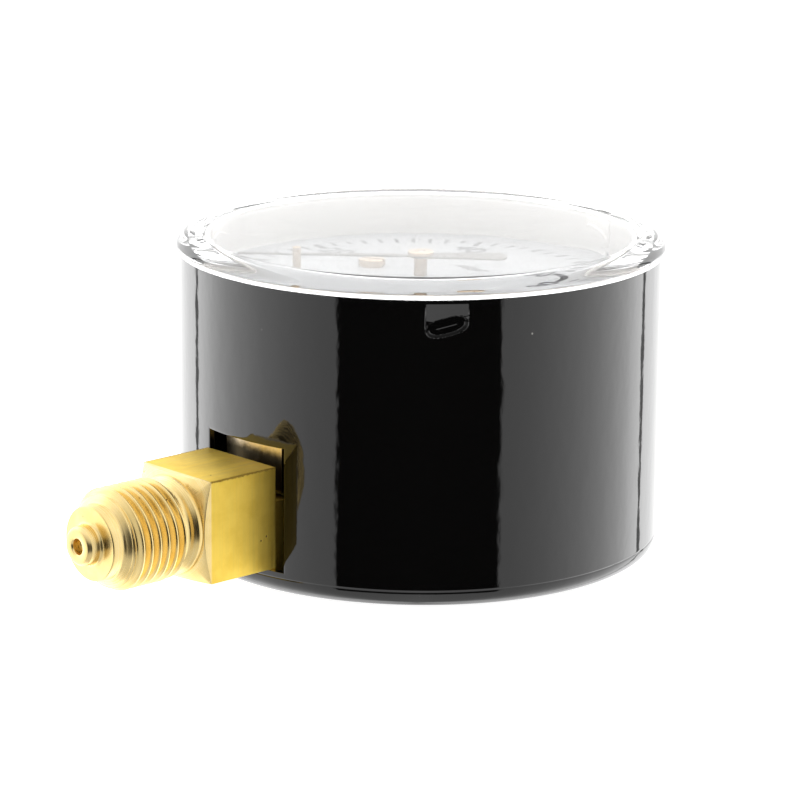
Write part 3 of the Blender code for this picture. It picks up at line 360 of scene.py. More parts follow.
def tarnished_strip():
    """Rolled strip, painted pale along its upper part as a painted reflection and painted brown below as
    painted shade.
    """
    made, n, shader, place = finish_of("tarnished_strip", Metallic=1.0)
    drift = n.math("MULTIPLY", n.math("SUBTRACT", n.noise(place, 900, 5.0, 0.7), 0.5), 0.0016)
    level = n.math("ADD", split(n, place)[2], drift)
    # painted light and shade: a pale painted reflection along the upper part and painted brown shade
    # below, split by height
    pale = n.span(level, *STRIP_SHADE_EDGE)
    grain = n.noise(n.scaled(place, (2600, 90, 400)), 1.0, 3.0, 0.6)
    bright = n.mix(grain, (0.82, 0.70, 0.51), (0.70, 0.58, 0.41))
    painted_shade_brown = n.mix(grain, (0.085, 0.075, 0.05), (0.16, 0.135, 0.09))
    wire(n, shader, "Base Color", n.mix(pale, painted_shade_brown, bright))
    wire(n, shader, "Roughness", n.span(grain, 0.25, 0.75, 0.30, 0.42))
    wire(n, shader, "Normal", n.bump(grain, 0.25, 0.00003))
    return made


ENAMEL = black_enamel()
INSIDE = plated_inside()
CLEAR = clear_plastic()
DIAL_WHITE = dial_enamel()
INK = print_ink()
BRASS = machined_brass()
SHEET_BRASS = tarnished_strip()
WATCH_BRASS = plain_metal(
    "watch_brass", (0.50, 0.38, 0.25), (0.42, 0.31, 0.20), (0.30, 0.44), (700, 700, 3200)
)
STEEL = plain_metal(
    "bright_steel", (0.66, 0.66, 0.68), (0.52, 0.52, 0.54), (0.18, 0.34), (900, 900, 3600)
)
BRONZE = plain_metal(
    "capsule_bronze_rolled", (0.80, 0.60, 0.42), (0.70, 0.50, 0.33), (0.24, 0.40), (500, 2400, 500)
)
SPRING = plain_metal(
    "spring_strip", (0.70, 0.52, 0.32), (0.60, 0.42, 0.24), (0.2, 0.35), (500, 500, 4000)
)
NEEDLE = plain_metal(
    "needle_lacquer", (0.15, 0.135, 0.115), (0.12, 0.105, 0.09), (0.45, 0.6), (2400, 200, 200), 0.0, 0.15
)
FIBRE = plain_metal(
    "pressed_fibre", (0.34, 0.24, 0.20), (0.27, 0.18, 0.15), (0.7, 0.85), (1500, 1500, 1500), 0.0
)


# ---------------------------------------------------------------- mesh helpers
def arc(centre, radii, start, end, steps):
    angles = np.radians(np.linspace(start, end, steps + 1))
    return [(centre[0] + radii[0] * math.cos(a), centre[1] + radii[1] * math.sin(a)) for a in angles]


def circle(radius, steps, centre=(0, 0)):
    return arc(centre, (radius, radius), 0, 360, steps)[:-1]


def turned(profile, steps=96, closed=True):
    """A surface turned round Z from a (radius, height) outline."""
    mesh = bmesh.new()
    rings = []
    for radius, height in profile:
        if radius < 1e-7:
            rings.append([mesh.verts.new((0, 0, height))])
        else:
            rings.append([mesh.verts.new((x, y, height)) for x, y in circle(radius, steps)])
    pairs = list(zip(rings, rings[1:] + rings[:1])) if closed else list(zip(rings, rings[1:]))
    for ring, following in pairs:
        if len(ring) == len(following) == 1:
            continue
        for i in range(steps):
            corners = [ring[i % len(ring)], ring[(i + 1) % len(ring)]]
            corners += [following[(i + 1) % len(following)], following[i % len(following)]]
            mesh.faces.new(list(dict.fromkeys(corners)))
    return mesh


def prism(outline, low, high, holes=()):
    mesh = bmesh.new()
    loops = [list(outline), *[list(hole) for hole in holes]]
    flat = [point for loop in loops for point in loop]
    bottom = [mesh.verts.new((x, y, low)) for x, y in flat]
    top = [mesh.verts.new((x, y, high)) for x, y in flat]
    if holes:
        for a, b, c in tessellate_polygon([[Vector((x, y, 0)) for x, y in loop] for loop in loops]):
            mesh.faces.new([bottom[a], bottom[b], bottom[c]])
            mesh.faces.new([top[c], top[b], top[a]])
    else:
        mesh.faces.new(bottom)
        mesh.faces.new(top[::-1])
    first = 0
    for loop in loops:
        for i in range(len(loop)):
            a, b = first + i, first + (i + 1) % len(loop)
            mesh.faces.new([bottom[a], bottom[b], top[b], top[a]])
        first += len(loop)
    return mesh


def box(low, high):
    outline = [(low[0], low[1]), (high[0], low[1]), (high[0], high[1]), (low[0], high[1])]
    return prism(outline, low[2], high[2])


def make(name, mesh, finish, place=None, sharp=32):
    """Turns the bmesh into an object with smooth shading and sharp edges."""
    if place is not None:
        bmesh.ops.transform(mesh, matrix=place, verts=mesh.verts)
    bmesh.ops.recalc_face_normals(mesh, faces=mesh.faces)
    data = bpy.data.meshes.new(name)
    mesh.to_mesh(data)
    mesh.free()
    data.shade_smooth()
    data.set_sharp_from_angle(angle=math.radians(sharp))
    made = bpy.data.objects.new(name, data)
    made.data.materials.append(finish)
    bpy.context.scene.collection.objects.link(made)
    return made


def bake_modifiers(obj, sharp=32):
    """Replaces the mesh with its modified form."""
    graph = bpy.context.evaluated_depsgraph_get()
    data = bpy.data.meshes.new_from_object(obj.evaluated_get(graph))
    obj.modifiers.clear()
    obj.data = data
    data.shade_smooth()
    data.set_sharp_from_angle(angle=math.radians(sharp))


def combine(target, operation, mesh, place=None):
    """Adds a shape or cuts it away, and keeps only the result."""
    tool = make("tool", mesh, target.data.materials[0], place)
    modifier = target.modifiers.new("shape", "BOOLEAN")
    modifier.operation = operation
    modifier.object = tool
    bpy.context.view_layer.update()
    bake_modifiers(target)
    bpy.data.objects.remove(tool)


def bevelled(obj, width, segments=2, angle=35):
    modifier = obj.modifiers.new("edge", "BEVEL")
    modifier.width = width
    modifier.segments = segments
    modifier.limit_method = "ANGLE"
    modifier.angle_limit = math.radians(angle)
    modifier.harden_normals = False
    bpy.context.view_layer.update()
    bake_modifiers(obj)


def settle(obj, body, slot, *nodes):
    """Rides on a body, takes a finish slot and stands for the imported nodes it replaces."""
    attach(obj, body)
    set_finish(obj, slot)
    if nodes:
        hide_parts(*nodes)
    return obj


# ---------------------------------------------------------------- case
def smooth(value):
    value = np.clip(value, 0, 1)
    return value * value * (3 - 2 * value)


def graded(low, high, coarse, fine, spots, reach):
    """Stations from low to high, close together near the spots and easing out to a coarse pitch."""
    out = [low]
    while out[-1] < high:
        near = min(max(abs(out[-1] - spot) - reach, 0) for spot in spots)
        pitch = fine + (coarse - fine) * float(smooth(np.array(near / (2.2 * reach))))
        out.append(out[-1] + pitch)
    scale = (high - low) / (out[-1] - low)
    return np.array([low + (value - low) * scale for value in out])


def snap(stations, value):
    stations[int(np.argmin(abs(stations - value)))] = value


def pressed_in(angle, z):
    """How far the wall is pushed in: slanted oval pockets, each below a short sloping apron."""
    depth = np.zeros_like(z)
    slant = math.tan(DIMPLE_TILT)
    half_width = DIMPLE_WIDTH / 2
    for centre in DIMPLE_ANGLES:
        u = CASE_RADIUS * np.radians((angle - centre + 180) % 360 - 180)
        v = z - DIMPLE_Z
        along = u * math.cos(DIMPLE_TILT) + v * math.sin(DIMPLE_TILT)
        across = v * math.cos(DIMPLE_TILT) - u * math.sin(DIMPLE_TILT)
        half_length = DIMPLE_LENGTH / 2 + 0.15 * MM
        oval = (abs(along / half_length) ** 2.5 + abs(across / half_width) ** 2.5) ** (1 / 2.5)
        off = (oval - 1) * half_width
        ridge = np.exp(-((across / (0.1 * MM)) ** 2)) * smooth((1.6 * MM - abs(along)) / (0.4 * MM))
        bank = np.where(across > 0, 0.1 * MM, 0.24 * MM)
        pocket = DIMPLE_DEPTH * smooth(-off / bank) - 0.03 * MM * ridge
        lip = 0.02 * MM * np.exp(-((off / (0.14 * MM)) ** 2))
        fall = np.clip((APRON_TOP - z) / (APRON_TOP - DIMPLE_Z - half_width * 0.6), 0, 1)
        side = smooth((DIMPLE_LENGTH / 2 + 0.14 * MM - abs(u)) / (0.2 * MM))
        under = smooth((v - slant * u - 0.25 * MM) / (0.5 * MM))
        apron = APRON_DEPTH * fall * side * under
        depth = np.maximum(depth, np.maximum(pocket, apron) + lip * (off > 0))
    return depth


def build_case():
    """The drawn cup as one grid of columns and rows, outside and inside, with the cut-out left open."""
    outer, inner = CASE_RADIUS, CASE_RADIUS - CASE_WALL
    cut_angles = [math.degrees(math.atan2(-math.sqrt(outer**2 - x * x), x)) for x in CUTOUT_X]
    spots = [(a + 180) % 360 - 180 for a in DIMPLE_ANGLES]
    wanted = [angle + turns for angle in spots + cut_angles for turns in (0, 360, -360)]
    columns = graded(-180, 180, 1.2, 0.13, wanted, 5.2)[:-1]
    for angle in cut_angles:
        snap(columns, angle)
    rows = graded(CASE_CORNER, RIM_Z - RIM_ROLL, 1.6 * MM, 0.07 * MM, [DIMPLE_Z + 0.4 * MM], 2.4 * MM)
    extra = [BASE_LINE_Z + side for side in np.linspace(-0.24, 0.24, 9) * MM]
    beside_cut = np.array((-0.5, -0.25, -0.1, 0, 0.1, 0.25, 0.5)) * MM
    extra += [edge + side for edge in CUTOUT_Z for side in beside_cut]
    rows = np.array(sorted({*rows, *extra}))
    rows = rows[np.concatenate([[True], np.diff(rows) > 0.03 * MM])]
    for z in CUTOUT_Z:
        snap(rows, z)
    count = len(columns)
    first, last = (int(np.argmin(abs(columns - a))) for a in cut_angles)
    low, high = (int(np.argmin(abs(rows - z))) for z in CUTOUT_Z)
    angle, z = np.meshgrid(columns, rows)
    base_line = BASE_LINE_DEPTH * np.exp(-(((z - BASE_LINE_Z) / BASE_LINE_WIDTH) ** 2))
    depth = pressed_in(angle, z) + base_line
    x = outer * np.cos(np.radians(angle))
    on_stem_side = np.sin(np.radians(angle)) < 0
    beside = np.maximum(np.maximum(CUTOUT_X[0] - x, x - CUTOUT_X[1]), 0)
    above = np.maximum(np.maximum(CUTOUT_Z[0] - z, z - CUTOUT_Z[1]), 0)
    rolled_in = 0.035 * MM * np.exp(-np.hypot(beside, above) / (0.09 * MM))
    depth = depth + rolled_in * on_stem_side
    mesh = bmesh.new()

    def ring(radius, height):
        around = np.radians(columns)
        return [mesh.verts.new((radius * math.cos(a), radius * math.sin(a), height)) for a in around]

    def wall(radius, bottom, top):
        grid = []
        for j in range(len(rows)):
            line = []
            for i in range(count):
                a = math.radians(columns[i])
                px, py = radius * math.cos(a), radius * math.sin(a)
                if i in (first, last):
                    px = CUTOUT_X[0] if i == first else CUTOUT_X[1]
                    py = -math.sqrt(radius**2 - px**2)
                push = 1 - depth[j, i] / radius
                line.append(mesh.verts.new((px * push, py * push, rows[j])))
            grid.append(line)
        return [ring(*item) for item in bottom] + grid + [ring(*item) for item in top]

    def skin(grid, lead, material_index):
        for j in range(len(grid) - 1):
            for i in range(count):
                k = (i + 1) % count
                if low + lead <= j < high + lead and first <= i < last:
                    continue
                face = mesh.faces.new([grid[j][i], grid[j][k], grid[j + 1][k], grid[j + 1][i]])
                face.material_index = material_index

    corner = arc((outer - CASE_CORNER, CASE_CORNER), (CASE_CORNER, CASE_CORNER), -90, 0, 9)[:-1]
    roll = arc((outer - RIM_ROLL, RIM_Z - RIM_ROLL), (RIM_ROLL, RIM_ROLL), 0, 90, 3)[1:]
    outside = wall(outer, corner, roll)
    soft = CASE_INNER_CORNER
    inside_corner = arc((inner - soft, CASE_WALL + soft), (soft, soft), -90, -12, 4)
    inside_roll = arc((inner + RIM_ROLL, RIM_Z - RIM_ROLL), (RIM_ROLL, RIM_ROLL), 180, 90, 3)[1:]
    inside = wall(inner, inside_corner, inside_roll)
    skin(outside, len(corner), 0)
    skin(inside, len(inside_corner), 1)
    for i in range(count):
        k = (i + 1) % count
        mesh.faces.new([outside[-1][i], outside[-1][k], inside[-1][k], inside[-1][i]]).material_index = 1
    out_grid, in_grid = outside[len(corner):], inside[len(inside_corner):]
    for i in range(first, last):
        for j in (low, high):
            mesh.faces.new([out_grid[j][i], out_grid[j][i + 1], in_grid[j][i + 1], in_grid[j][i]])
    for j in range(low, high):
        for i in (first, last):
            mesh.faces.new([out_grid[j][i], out_grid[j + 1][i], in_grid[j + 1][i], in_grid[j][i]])
    hole_steps = 48
    plates = []
    for grid, height, radius in zip((outside, inside), (0, CASE_WALL), COUNTERSINK_RADII):
        holes = []
        for y in BACK_SCREW_Y:
            around = circle(radius, hole_steps, (0, y))
            holes.append([mesh.verts.new((px, py, height)) for px, py in around])
        loops = [grid[0], *holes]
        flat = [vert for loop in loops for vert in loop]
        outlines = [[Vector((vert.co.x, vert.co.y, 0)) for vert in loop] for loop in loops]
        for corners in tessellate_polygon(outlines):
            mesh.faces.new([flat[c] for c in corners]).material_index = int(height > 0)
        plates.append(holes)
    for near, far in zip(*plates):
        for i in range(hole_steps):
            k = (i + 1) % hole_steps
            mesh.faces.new([near[i], near[k], far[k], far[i]])
    made = make("enamelled_case", mesh, ENAMEL, sharp=40)
    made.data.materials.append(INSIDE)
    return settle(made, "housing", "case_paint", "case")


# ---------------------------------------------------------------- window
def build_window():
    """Lens, bullnose flange and skirt in one piece, with a fine step round the lens and three lugs."""
    edge_z = FLANGE_Z + FLANGE_EDGE
    lens_z = LENS_TOP - 0.08 * MM
    fillet = 0.8 * MM
    flat = 0.04 * MM
    inner, outer = SKIRT_RADII
    outline = [(0, LENS_UNDER), (inner - fillet - flat, LENS_UNDER), (inner - fillet, LENS_UNDER)]
    outline += arc((inner - fillet, LENS_UNDER - fillet), (fillet, fillet), 90, 0, 14)[1:]
    lip = 0.5 * MM
    outline += arc((inner + lip, SKIRT_Z + lip), (lip, lip), 180, 270, 8)
    outline += [(outer - 0.1 * MM, SKIRT_Z), (outer, SKIRT_Z + 0.1 * MM)]
    outline += [(outer, LUG_TOP), (outer, LUG_TOP + 0.06 * MM)]
    outline += [(outer, FLANGE_Z - 0.15 * MM), (outer + 0.15 * MM, FLANGE_Z)]
    under_edge = 0.32 * MM
    under_centre = (FLANGE_RADIUS - under_edge, FLANGE_Z + under_edge)
    outline += arc(under_centre, (under_edge, under_edge), -90, 0, 8)
    bullnose = (FLANGE_RADIUS - CREASE_RADIUS - 0.15 * MM, LENS_TOP - edge_z)
    outline += arc((CREASE_RADIUS + 0.15 * MM, edge_z), bullnose, 0, 90, 20)
    outline += [(CREASE_RADIUS + 0.04 * MM, LENS_TOP - 0.03 * MM)]
    outline += [(CREASE_RADIUS - 0.05 * MM, lens_z - 0.02 * MM)]
    lens_edge = CREASE_RADIUS - 0.22 * MM
    outline += [(lens_edge, lens_z), (lens_edge - flat, lens_z), (0, lens_z)]
    mesh = turned(outline, 288)
    for vert in mesh.verts:
        radius = math.hypot(vert.co.x, vert.co.y)
        if abs(radius - outer) > 0.12 * MM or vert.co.z > LUG_TOP + 0.01 * MM:
            continue
        angle = math.degrees(math.atan2(vert.co.y, vert.co.x))
        off = min(abs((angle - centre + 180) % 360 - 180) for centre in DIMPLE_ANGLES)
        grow = 1 + (LUG_RADIUS / outer - 1) * float(smooth(np.array((LUG_HALF_ANGLE - off) / 1.6)))
        vert.co.x *= grow
        vert.co.y *= grow
    return settle(make("clear_window", mesh, CLEAR, sharp=38), "housing", "window_plastic", "window")


# ---------------------------------------------------------------- dial, print, screws, pointer
def clock(radius, degrees):
    a = math.radians(90 - degrees)
    return Vector((radius * math.cos(a), radius * math.sin(a), 0))


def stroke_on(mesh, radius, length, width, angle, low, high):
    """One printed stroke that points at the dial's centre."""
    half = width / 2
    stroke = box((-half, radius - length, low), (half, radius, high))
    bmesh.ops.transform(stroke, matrix=Matrix.Rotation(math.radians(-angle), 4, "Z"), verts=stroke.verts)
    data = bpy.data.meshes.new("stroke")
    stroke.to_mesh(data)
    stroke.free()
    mesh.from_mesh(data)
    bpy.data.meshes.remove(data)


def letters(mesh, text, size, spot, low, high):
    """Printed characters, upright on the dial and centred on a spot."""
    curve = bpy.data.curves.new("print", "FONT")
    curve.body = text
    curve.size = size
    curve.align_x = "CENTER"
    curve.align_y = "CENTER"
    curve.extrude = (high - low) / 2
    curve.resolution_u = 6
    curve.offset = 0.1 * MM
    holder = bpy.data.objects.new("print", curve)
    bpy.context.scene.collection.objects.link(holder)
    bpy.context.view_layer.update()
    data = bpy.data.meshes.new_from_object(holder.evaluated_get(bpy.context.evaluated_depsgraph_get()))
    data.transform(Matrix.Translation((spot.x, spot.y, (low + high) / 2)))
    mesh.from_mesh(data)
    bpy.data.meshes.remove(data)
    bpy.data.objects.remove(holder)
    bpy.data.curves.remove(curve)


def build_dial():
    holes = [circle(1.4 * MM, 64)]
    for side in ("left", "right"):
        low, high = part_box(f"dial_post_{side}")
        holes.append(circle(1.15 * MM, 32, ((low + high) / 2).xy))
    pin = (PIN_LOW + PIN_HIGH) / 2
    holes.append(circle((PIN_HIGH.x - PIN_LOW.x) / 2 + 0.07 * MM, 32, pin.xy))
    mesh = prism(circle(DIAL_RADIUS, 240), DIAL_LOW.z, DIAL_TOP, holes)
    dial = make("printed_dial", mesh, DIAL_WHITE)
    bevelled(dial, 0.06 * MM, 2, 60)
    settle(dial, "housing", "dial_face", "dial")
    low, high = DIAL_TOP + 0.004 * MM, DIAL_TOP + 0.022 * MM
    ink = bmesh.new()
    for i in range(SCALE_STEPS + 1):
        length, width = (2.7 * MM, 0.75 * MM) if i % 10 == 0 else (2.0 * MM, 0.5 * MM)
        angle = SCALE_START + SCALE_SWEEP / SCALE_STEPS * i
        stroke_on(ink, SCALE_RADIUS, length, width, angle, low, high)
    for value in range(0, SCALE_TOP_VALUE + 1, 20):
        spot = clock(NUMBER_RADIUS, SCALE_START + SCALE_SWEEP * value / SCALE_TOP_VALUE)
        letters(ink, str(value), 4.6 * MM, spot, low, high)
    letters(ink, "mbar", 2.6 * MM, Vector((0, 9.6 * MM, 0)), low, high)
    settle(make("dial_print", ink, INK), "housing", "dial_face")


def cheese_head(name, node, slot_angle, finish):
    """A turned cheese-head screw with a rounded crown edge and a sawn slot."""
    low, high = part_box(node)
    middle = (low + high) / 2
    radius = (high.x - low.x) / 2
    seat = high.z - SCREW_HEAD_HEIGHT
    shank, crown = SCREW_SHANK_RADIUS, 0.22 * MM
    profile = [(0, low.z), (shank - 0.1 * MM, low.z), (shank, low.z + 0.1 * MM), (shank, seat)]
    profile += [(radius - 0.06 * MM, seat), (radius, seat + 0.06 * MM), (radius, high.z - crown)]
    profile += arc((radius - crown, high.z - crown), (crown, crown), 0, 90, 5)[1:]
    profile += [(0, high.z)]
    place = Matrix.Translation((middle.x, middle.y, 0))
    screw = make(name, turned(profile, 72), finish, place)
    half = 0.16 * radius
    slot_depth = 0.4 * MM
    slot = box((-2 * radius, -half, high.z - slot_depth), (2 * radius, half, high.z + 1 * MM))
    combine(screw, "DIFFERENCE", slot, place @ Matrix.Rotation(math.radians(slot_angle), 4, "Z"))
    bevelled(screw, 0.03 * MM, 2, 50)
    return settle(screw, "housing", "movement_brass", node)


def build_pointer():
    """A flat needle that widens to a boss round the arbor and on to a round-ended tail."""
    direction = Matrix.Rotation(math.radians(90 - SCALE_START), 4, "Z")
    boss = arc((0, 0), (1.5 * MM, 1.5 * MM), 25, 110, 18)
    upper = [(POINTER_TIP, 0.1 * MM), (1.6 * MM, 0.55 * MM), *boss, (-5 * MM, 1.6 * MM)]
    upper += arc((-POINTER_TAIL + 1.2 * MM, 0), (1.2 * MM, 2.2 * MM), 90, 172, 10)
    outline = upper + [(x, -y) for x, y in reversed(upper)]
    blade = prism(outline, POINTER_LOW.z, POINTER_HIGH.z, [circle(0.9 * MM, 48)])
    needle = make("needle", blade, NEEDLE, direction)
    bevelled(needle, 0.05 * MM, 2, 40)
    settle(needle, "pointer_spindle", "pointer_paint", "pointer")


def build_hub():
    """The pointer's bush under a flat cap, open in the middle for the arbor's end."""
    radius, bottom, top = HUB_HIGH.x, HUB_LOW.z, HUB_HIGH.z
    bore, neck, edge = 0.6 * MM, 0.85 * MM, 0.14 * MM
    cap = top - 0.5 * MM
    profile = [(bore, bottom), (neck - 0.07 * MM, bottom), (neck, bottom + 0.07 * MM), (neck, cap)]
    profile += [(radius - 0.08 * MM, cap), (radius, cap + 0.08 * MM), (radius, top - edge)]
    profile += arc((radius - edge, top - edge), (edge, edge), 0, 90, 4)[1:]
    profile += [(bore + 0.08 * MM, top), (bore, top - 0.08 * MM)]
    hub = make("hub_cap", turned(profile, 96), WATCH_BRASS)
    settle(hub, "pointer_spindle", "movement_brass", "pointer_hub")


def build_rest_pin():
    middle = (PIN_LOW + PIN_HIGH) / 2
    radius = (PIN_HIGH.x - PIN_LOW.x) / 2
    top, crown = PIN_HIGH.z, 0.18 * MM
    profile = [(0, PIN_LOW.z), (radius, PIN_LOW.z), (radius, top - crown)]
    profile += arc((radius - crown, top - crown), (crown, crown), 0, 90, 5)[1:] + [(0, top)]
    place = Matrix.Translation((middle.x, middle.y, 0))
    pin = make("rest_pin", turned(profile, 48), WATCH_BRASS, place)
    settle(pin, "housing", "movement_brass", "stop_pin")


# ---------------------------------------------------------------- socket
def thread_height(turns):
    """Height of the rounded 55 degree ridge, from 0 at the root to 1 at the crest."""
    flank = 1 - abs((turns % 1.0) * 2 - 1)
    return float(smooth(np.array((flank - 0.10) / 0.80)))


def build_neck():
    """Collar, groove, helical thread, sealing step, spigot and bore as one closed grid of rings."""
    collar = [(42.2, 6.3), (43.34, 6.3), (43.44, 6.27), (43.5, 6.2), (43.82, 5.92), (43.95, 5.75)]
    relief = [(44.1, 5.5), (44.2, 5.4), (44.32, 5.35), (44.86, 5.35), (44.96, 5.38), (45.05, 5.5)]
    chamfer = [(53.62, 5.62), (53.75, 5.5), (54.0, 5.02), (54.1, 4.86), (54.22, 4.78)]
    step = [(54.4, 4.75), (55.58, 4.75), (55.72, 4.71), (55.8, 4.6), (55.82, 3.1)]
    root = [(55.86, 2.78), (55.98, 2.6), (56.15, 2.52)]
    spigot = [(56.3, 2.5), (57.32, 2.5), (57.42, 2.46), (57.76, 2.12), (57.8, 2.02)]
    mouth = [(57.8, 1.16), (57.76, 1.08), (57.6, 0.97), (57.45, 0.95)]
    bore = [(56.75, 0.95), (56.6, 0.9), (56.45, 0.4), (56.4, 0.3), (54.0, 0.3), (53.9, 0.0)]
    steps = 180
    start, stop = THREAD_SPAN
    rings = [[(s * MM, r * MM)] * steps for s, r in collar + relief]
    for s in np.linspace(start, stop, 230):
        fade = min(1.0, (s - start) / (0.55 * THREAD_PITCH) + 0.12)
        tip_fade = float(smooth(np.array((stop - s) / (0.62 * THREAD_PITCH))))
        ring = []
        for i in range(steps):
            turns = (s - start) / THREAD_PITCH - i / steps
            height = thread_height(turns) * fade
            top = THREAD_ROOT + (THREAD_CREST - THREAD_ROOT) * height
            tip = THREAD_END_RADIUS + (THREAD_CREST - THREAD_END_RADIUS) * tip_fade
            ring.append((float(s), min(top, max(tip, THREAD_ROOT - 0.08 * MM))))
        rings.append(ring)
    rings += [[(s * MM, r * MM)] * steps for s, r in chamfer + step + root + spigot + mouth + bore]
    mesh = bmesh.new()
    grid = []
    for ring in rings:
        if ring[0][1] == 0:
            grid.append([mesh.verts.new((0, -ring[0][0], STEM_Z))])
            continue
        line = []
        for i, (s, r) in enumerate(ring):
            a = 2 * math.pi * i / steps
            line.append(mesh.verts.new((r * math.cos(a), -s, STEM_Z + r * math.sin(a))))
        grid.append(line)
    for near, far in zip(grid, grid[1:]):
        for i in range(steps):
            k = (i + 1) % steps
            corners = [near[i], near[k], far[k % len(far)], far[i % len(far)]]
            mesh.faces.new(list(dict.fromkeys(corners)))
    mesh.faces.new(grid[0])
    return mesh


def build_socket():
    """The square block with its turned neck, and the tail inside the case that carries the movement."""
    along = Matrix.Translation((0, 0, STEM_Z)) @ Matrix.Rotation(math.radians(90), 4, "X")
    flat = BLOCK_WIDTH / 2
    inner_end, outer_end = BLOCK_SPAN
    reach = math.hypot(BLOCK_WIDTH, BLOCK_HEIGHT) / 2 + 0.1 * MM
    blank = [(0, inner_end), (reach, inner_end), (reach, BLOCK_CORNER_SPAN)]
    blank += [(flat - 0.2 * MM, outer_end), (0, outer_end)]
    socket = make("brass_socket", turned(blank, 192), BRASS, along)
    low = (-flat, -outer_end - 5 * MM, STEM_Z - BLOCK_HEIGHT / 2)
    high = (flat, -inner_end + 5 * MM, STEM_Z + BLOCK_HEIGHT / 2)
    combine(socket, "INTERSECT", box(low, high))
    tail = TAIL_HALF_WIDTH
    tail_bottom, tail_top = TAIL_Z
    shelf = 0.2 * MM - math.sqrt((CASE_RADIUS - CASE_WALL) ** 2 - tail**2)
    combine(socket, "UNION", box((-tail, shelf, tail_bottom), (tail, SOCKET_BACK, tail_top)))
    root = box((-tail, -inner_end - 1 * MM, CUTOUT_Z[0] + 0.7 * MM), (tail, shelf + 1 * MM, tail_top))
    combine(socket, "UNION", root)
    bevelled(socket, 0.09 * MM, 2, 25)
    combine(socket, "UNION", build_neck())
    inlet = [(0, 7.4 * MM), (2.6 * MM, 7.4 * MM), (2.6 * MM, 13 * MM), (0, 13 * MM)]
    combine(socket, "DIFFERENCE", turned(inlet, 64))
    for y in BACK_SCREW_Y:
        hole = [(0, 0), (COUNTERSINK_RADII[0], 0), (2.2 * MM, 1.3 * MM)]
        hole += [(1.6 * MM, 1.9 * MM), (1.6 * MM, 8 * MM), (0, 8 * MM)]
        combine(socket, "DIFFERENCE", turned(hole, 48), Matrix.Translation((0, y, 0)))
    tapped = CARRIER_SCREW_RADIUS
    for x, y in CARRIER_SCREWS:
        hole = [(0, 8.4 * MM), (tapped, 8.4 * MM), (tapped, 13 * MM), (0, 13 * MM)]
        combine(socket, "DIFFERENCE", turned(hole, 32), Matrix.Translation((x, y, 0)))
    return settle(socket, "housing", "stem_brass", "socket")


def build_carrier():
    """The cranked strip, drawn in the Y-Z plane and pulled along X."""
    front, back = CARRIER_LOW.y, CARRIER_HIGH.y
    foot, top = CARRIER_LOW.z, CARRIER_HIGH.z
    thick, bend, foot_bend = 1.2 * MM, 1.6 * MM, 1.0 * MM
    foot_thick = thick - 0.2 * MM
    ledge = -8 * MM
    outline = [(back, foot)]
    outline += arc((front + foot_bend, foot + foot_bend), (foot_bend, foot_bend), 270, 180, 8)
    outline += arc((front + bend, top - bend), (bend, bend), 180, 90, 14)
    outline += [(ledge, top), (ledge, top - thick)]
    outline += arc((front + bend, top - bend), (bend - thick, bend - thick), 90, 180, 8)
    outline += [(front + thick, foot + foot_thick), (back, foot + foot_thick)]
    half = (CARRIER_HIGH.x - CARRIER_LOW.x) / 2
    lay_flat = Matrix(((0, 0, 1, 0), (1, 0, 0, 0), (0, 1, 0, 0), (0, 0, 0, 1)))
    carrier = make("carrier_strip", prism(outline, -half, half), SHEET_BRASS, lay_flat)
    combine(carrier, "DIFFERENCE", prism(circle(2.6 * MM, 64), 11 * MM, 15 * MM))
    spots = [(x, y, foot) for x, y in CARRIER_SCREWS]
    spots += [(x, -16 * MM, top - thick) for x in (-3.2 * MM, 3.2 * MM)]
    for x, y, z in spots:
        hole = prism(circle(CARRIER_SCREW_RADIUS, 32, (x, y)), z - 1 * MM, z + 3 * MM)
        combine(carrier, "DIFFERENCE", hole)
    bevelled(carrier, 0.06 * MM, 2, 50)
    return settle(carrier, "housing", "movement_brass", "carrier")


def build_diaphragm():
    """The capsule's upper dish, turned from a fine rippled outline."""
    low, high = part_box("upper_diaphragm")
    rim = high.x
    base = low.z - 0.05 * MM
    sheet, rim_top = 0.3 * MM, 0.35 * MM
    inner, outer = 2.2 * MM, rim - 2.0 * MM
    wave = []
    for share in np.linspace(0, 1, 72):
        radius = inner + (outer - inner) * share
        dome = 1.5 * MM * math.cos(share * math.pi / 2) ** 0.8
        ripple = 0.3 * MM * math.sin(share * 4 * math.pi) * math.sin(share * math.pi)
        wave.append((radius, rim_top + dome + ripple))
    under = [(radius, height - sheet) for radius, height in reversed(wave)]
    outline = [(r, base + h) for r, h in wave + [(rim, rim_top), (rim, rim_top - sheet)] + under]
    made = make("upper_dish", turned(outline, 120), BRONZE)
    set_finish(made, "capsule_bronze")
    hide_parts("upper_diaphragm")
    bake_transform(made)


build_case()
build_window()
build_dial()
cheese_head("dial_screw_a", "dial_screw_left", 20, WATCH_BRASS)
cheese_head("dial_screw_b", "dial_screw_right", -35, WATCH_BRASS)
build_pointer()
build_hub()
build_rest_pin()
build_socket()
build_carrier()
build_diaphragm()

SLOT_FINISH = {
    "case_paint": ENAMEL,
    "window_plastic": CLEAR,
    "dial_face": DIAL_WHITE,
    "stem_brass": BRASS,
    "movement_brass": WATCH_BRASS,
    "screw_steel": STEEL,
    "arbor_steel": STEEL,
    "capsule_bronze": BRONZE,
    "spring_bronze": SPRING,
    "pointer_paint": NEEDLE,
    "seal_fibre": FIBRE,
}
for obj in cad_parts.values():
    for holder in obj.material_slots:
        name = obj.get("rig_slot") or (holder.material.name if holder.material else "")
        finish = next((SLOT_FINISH[key] for key in SLOT_FINISH if name.startswith(key)), WATCH_BRASS)
        holder.material = finish

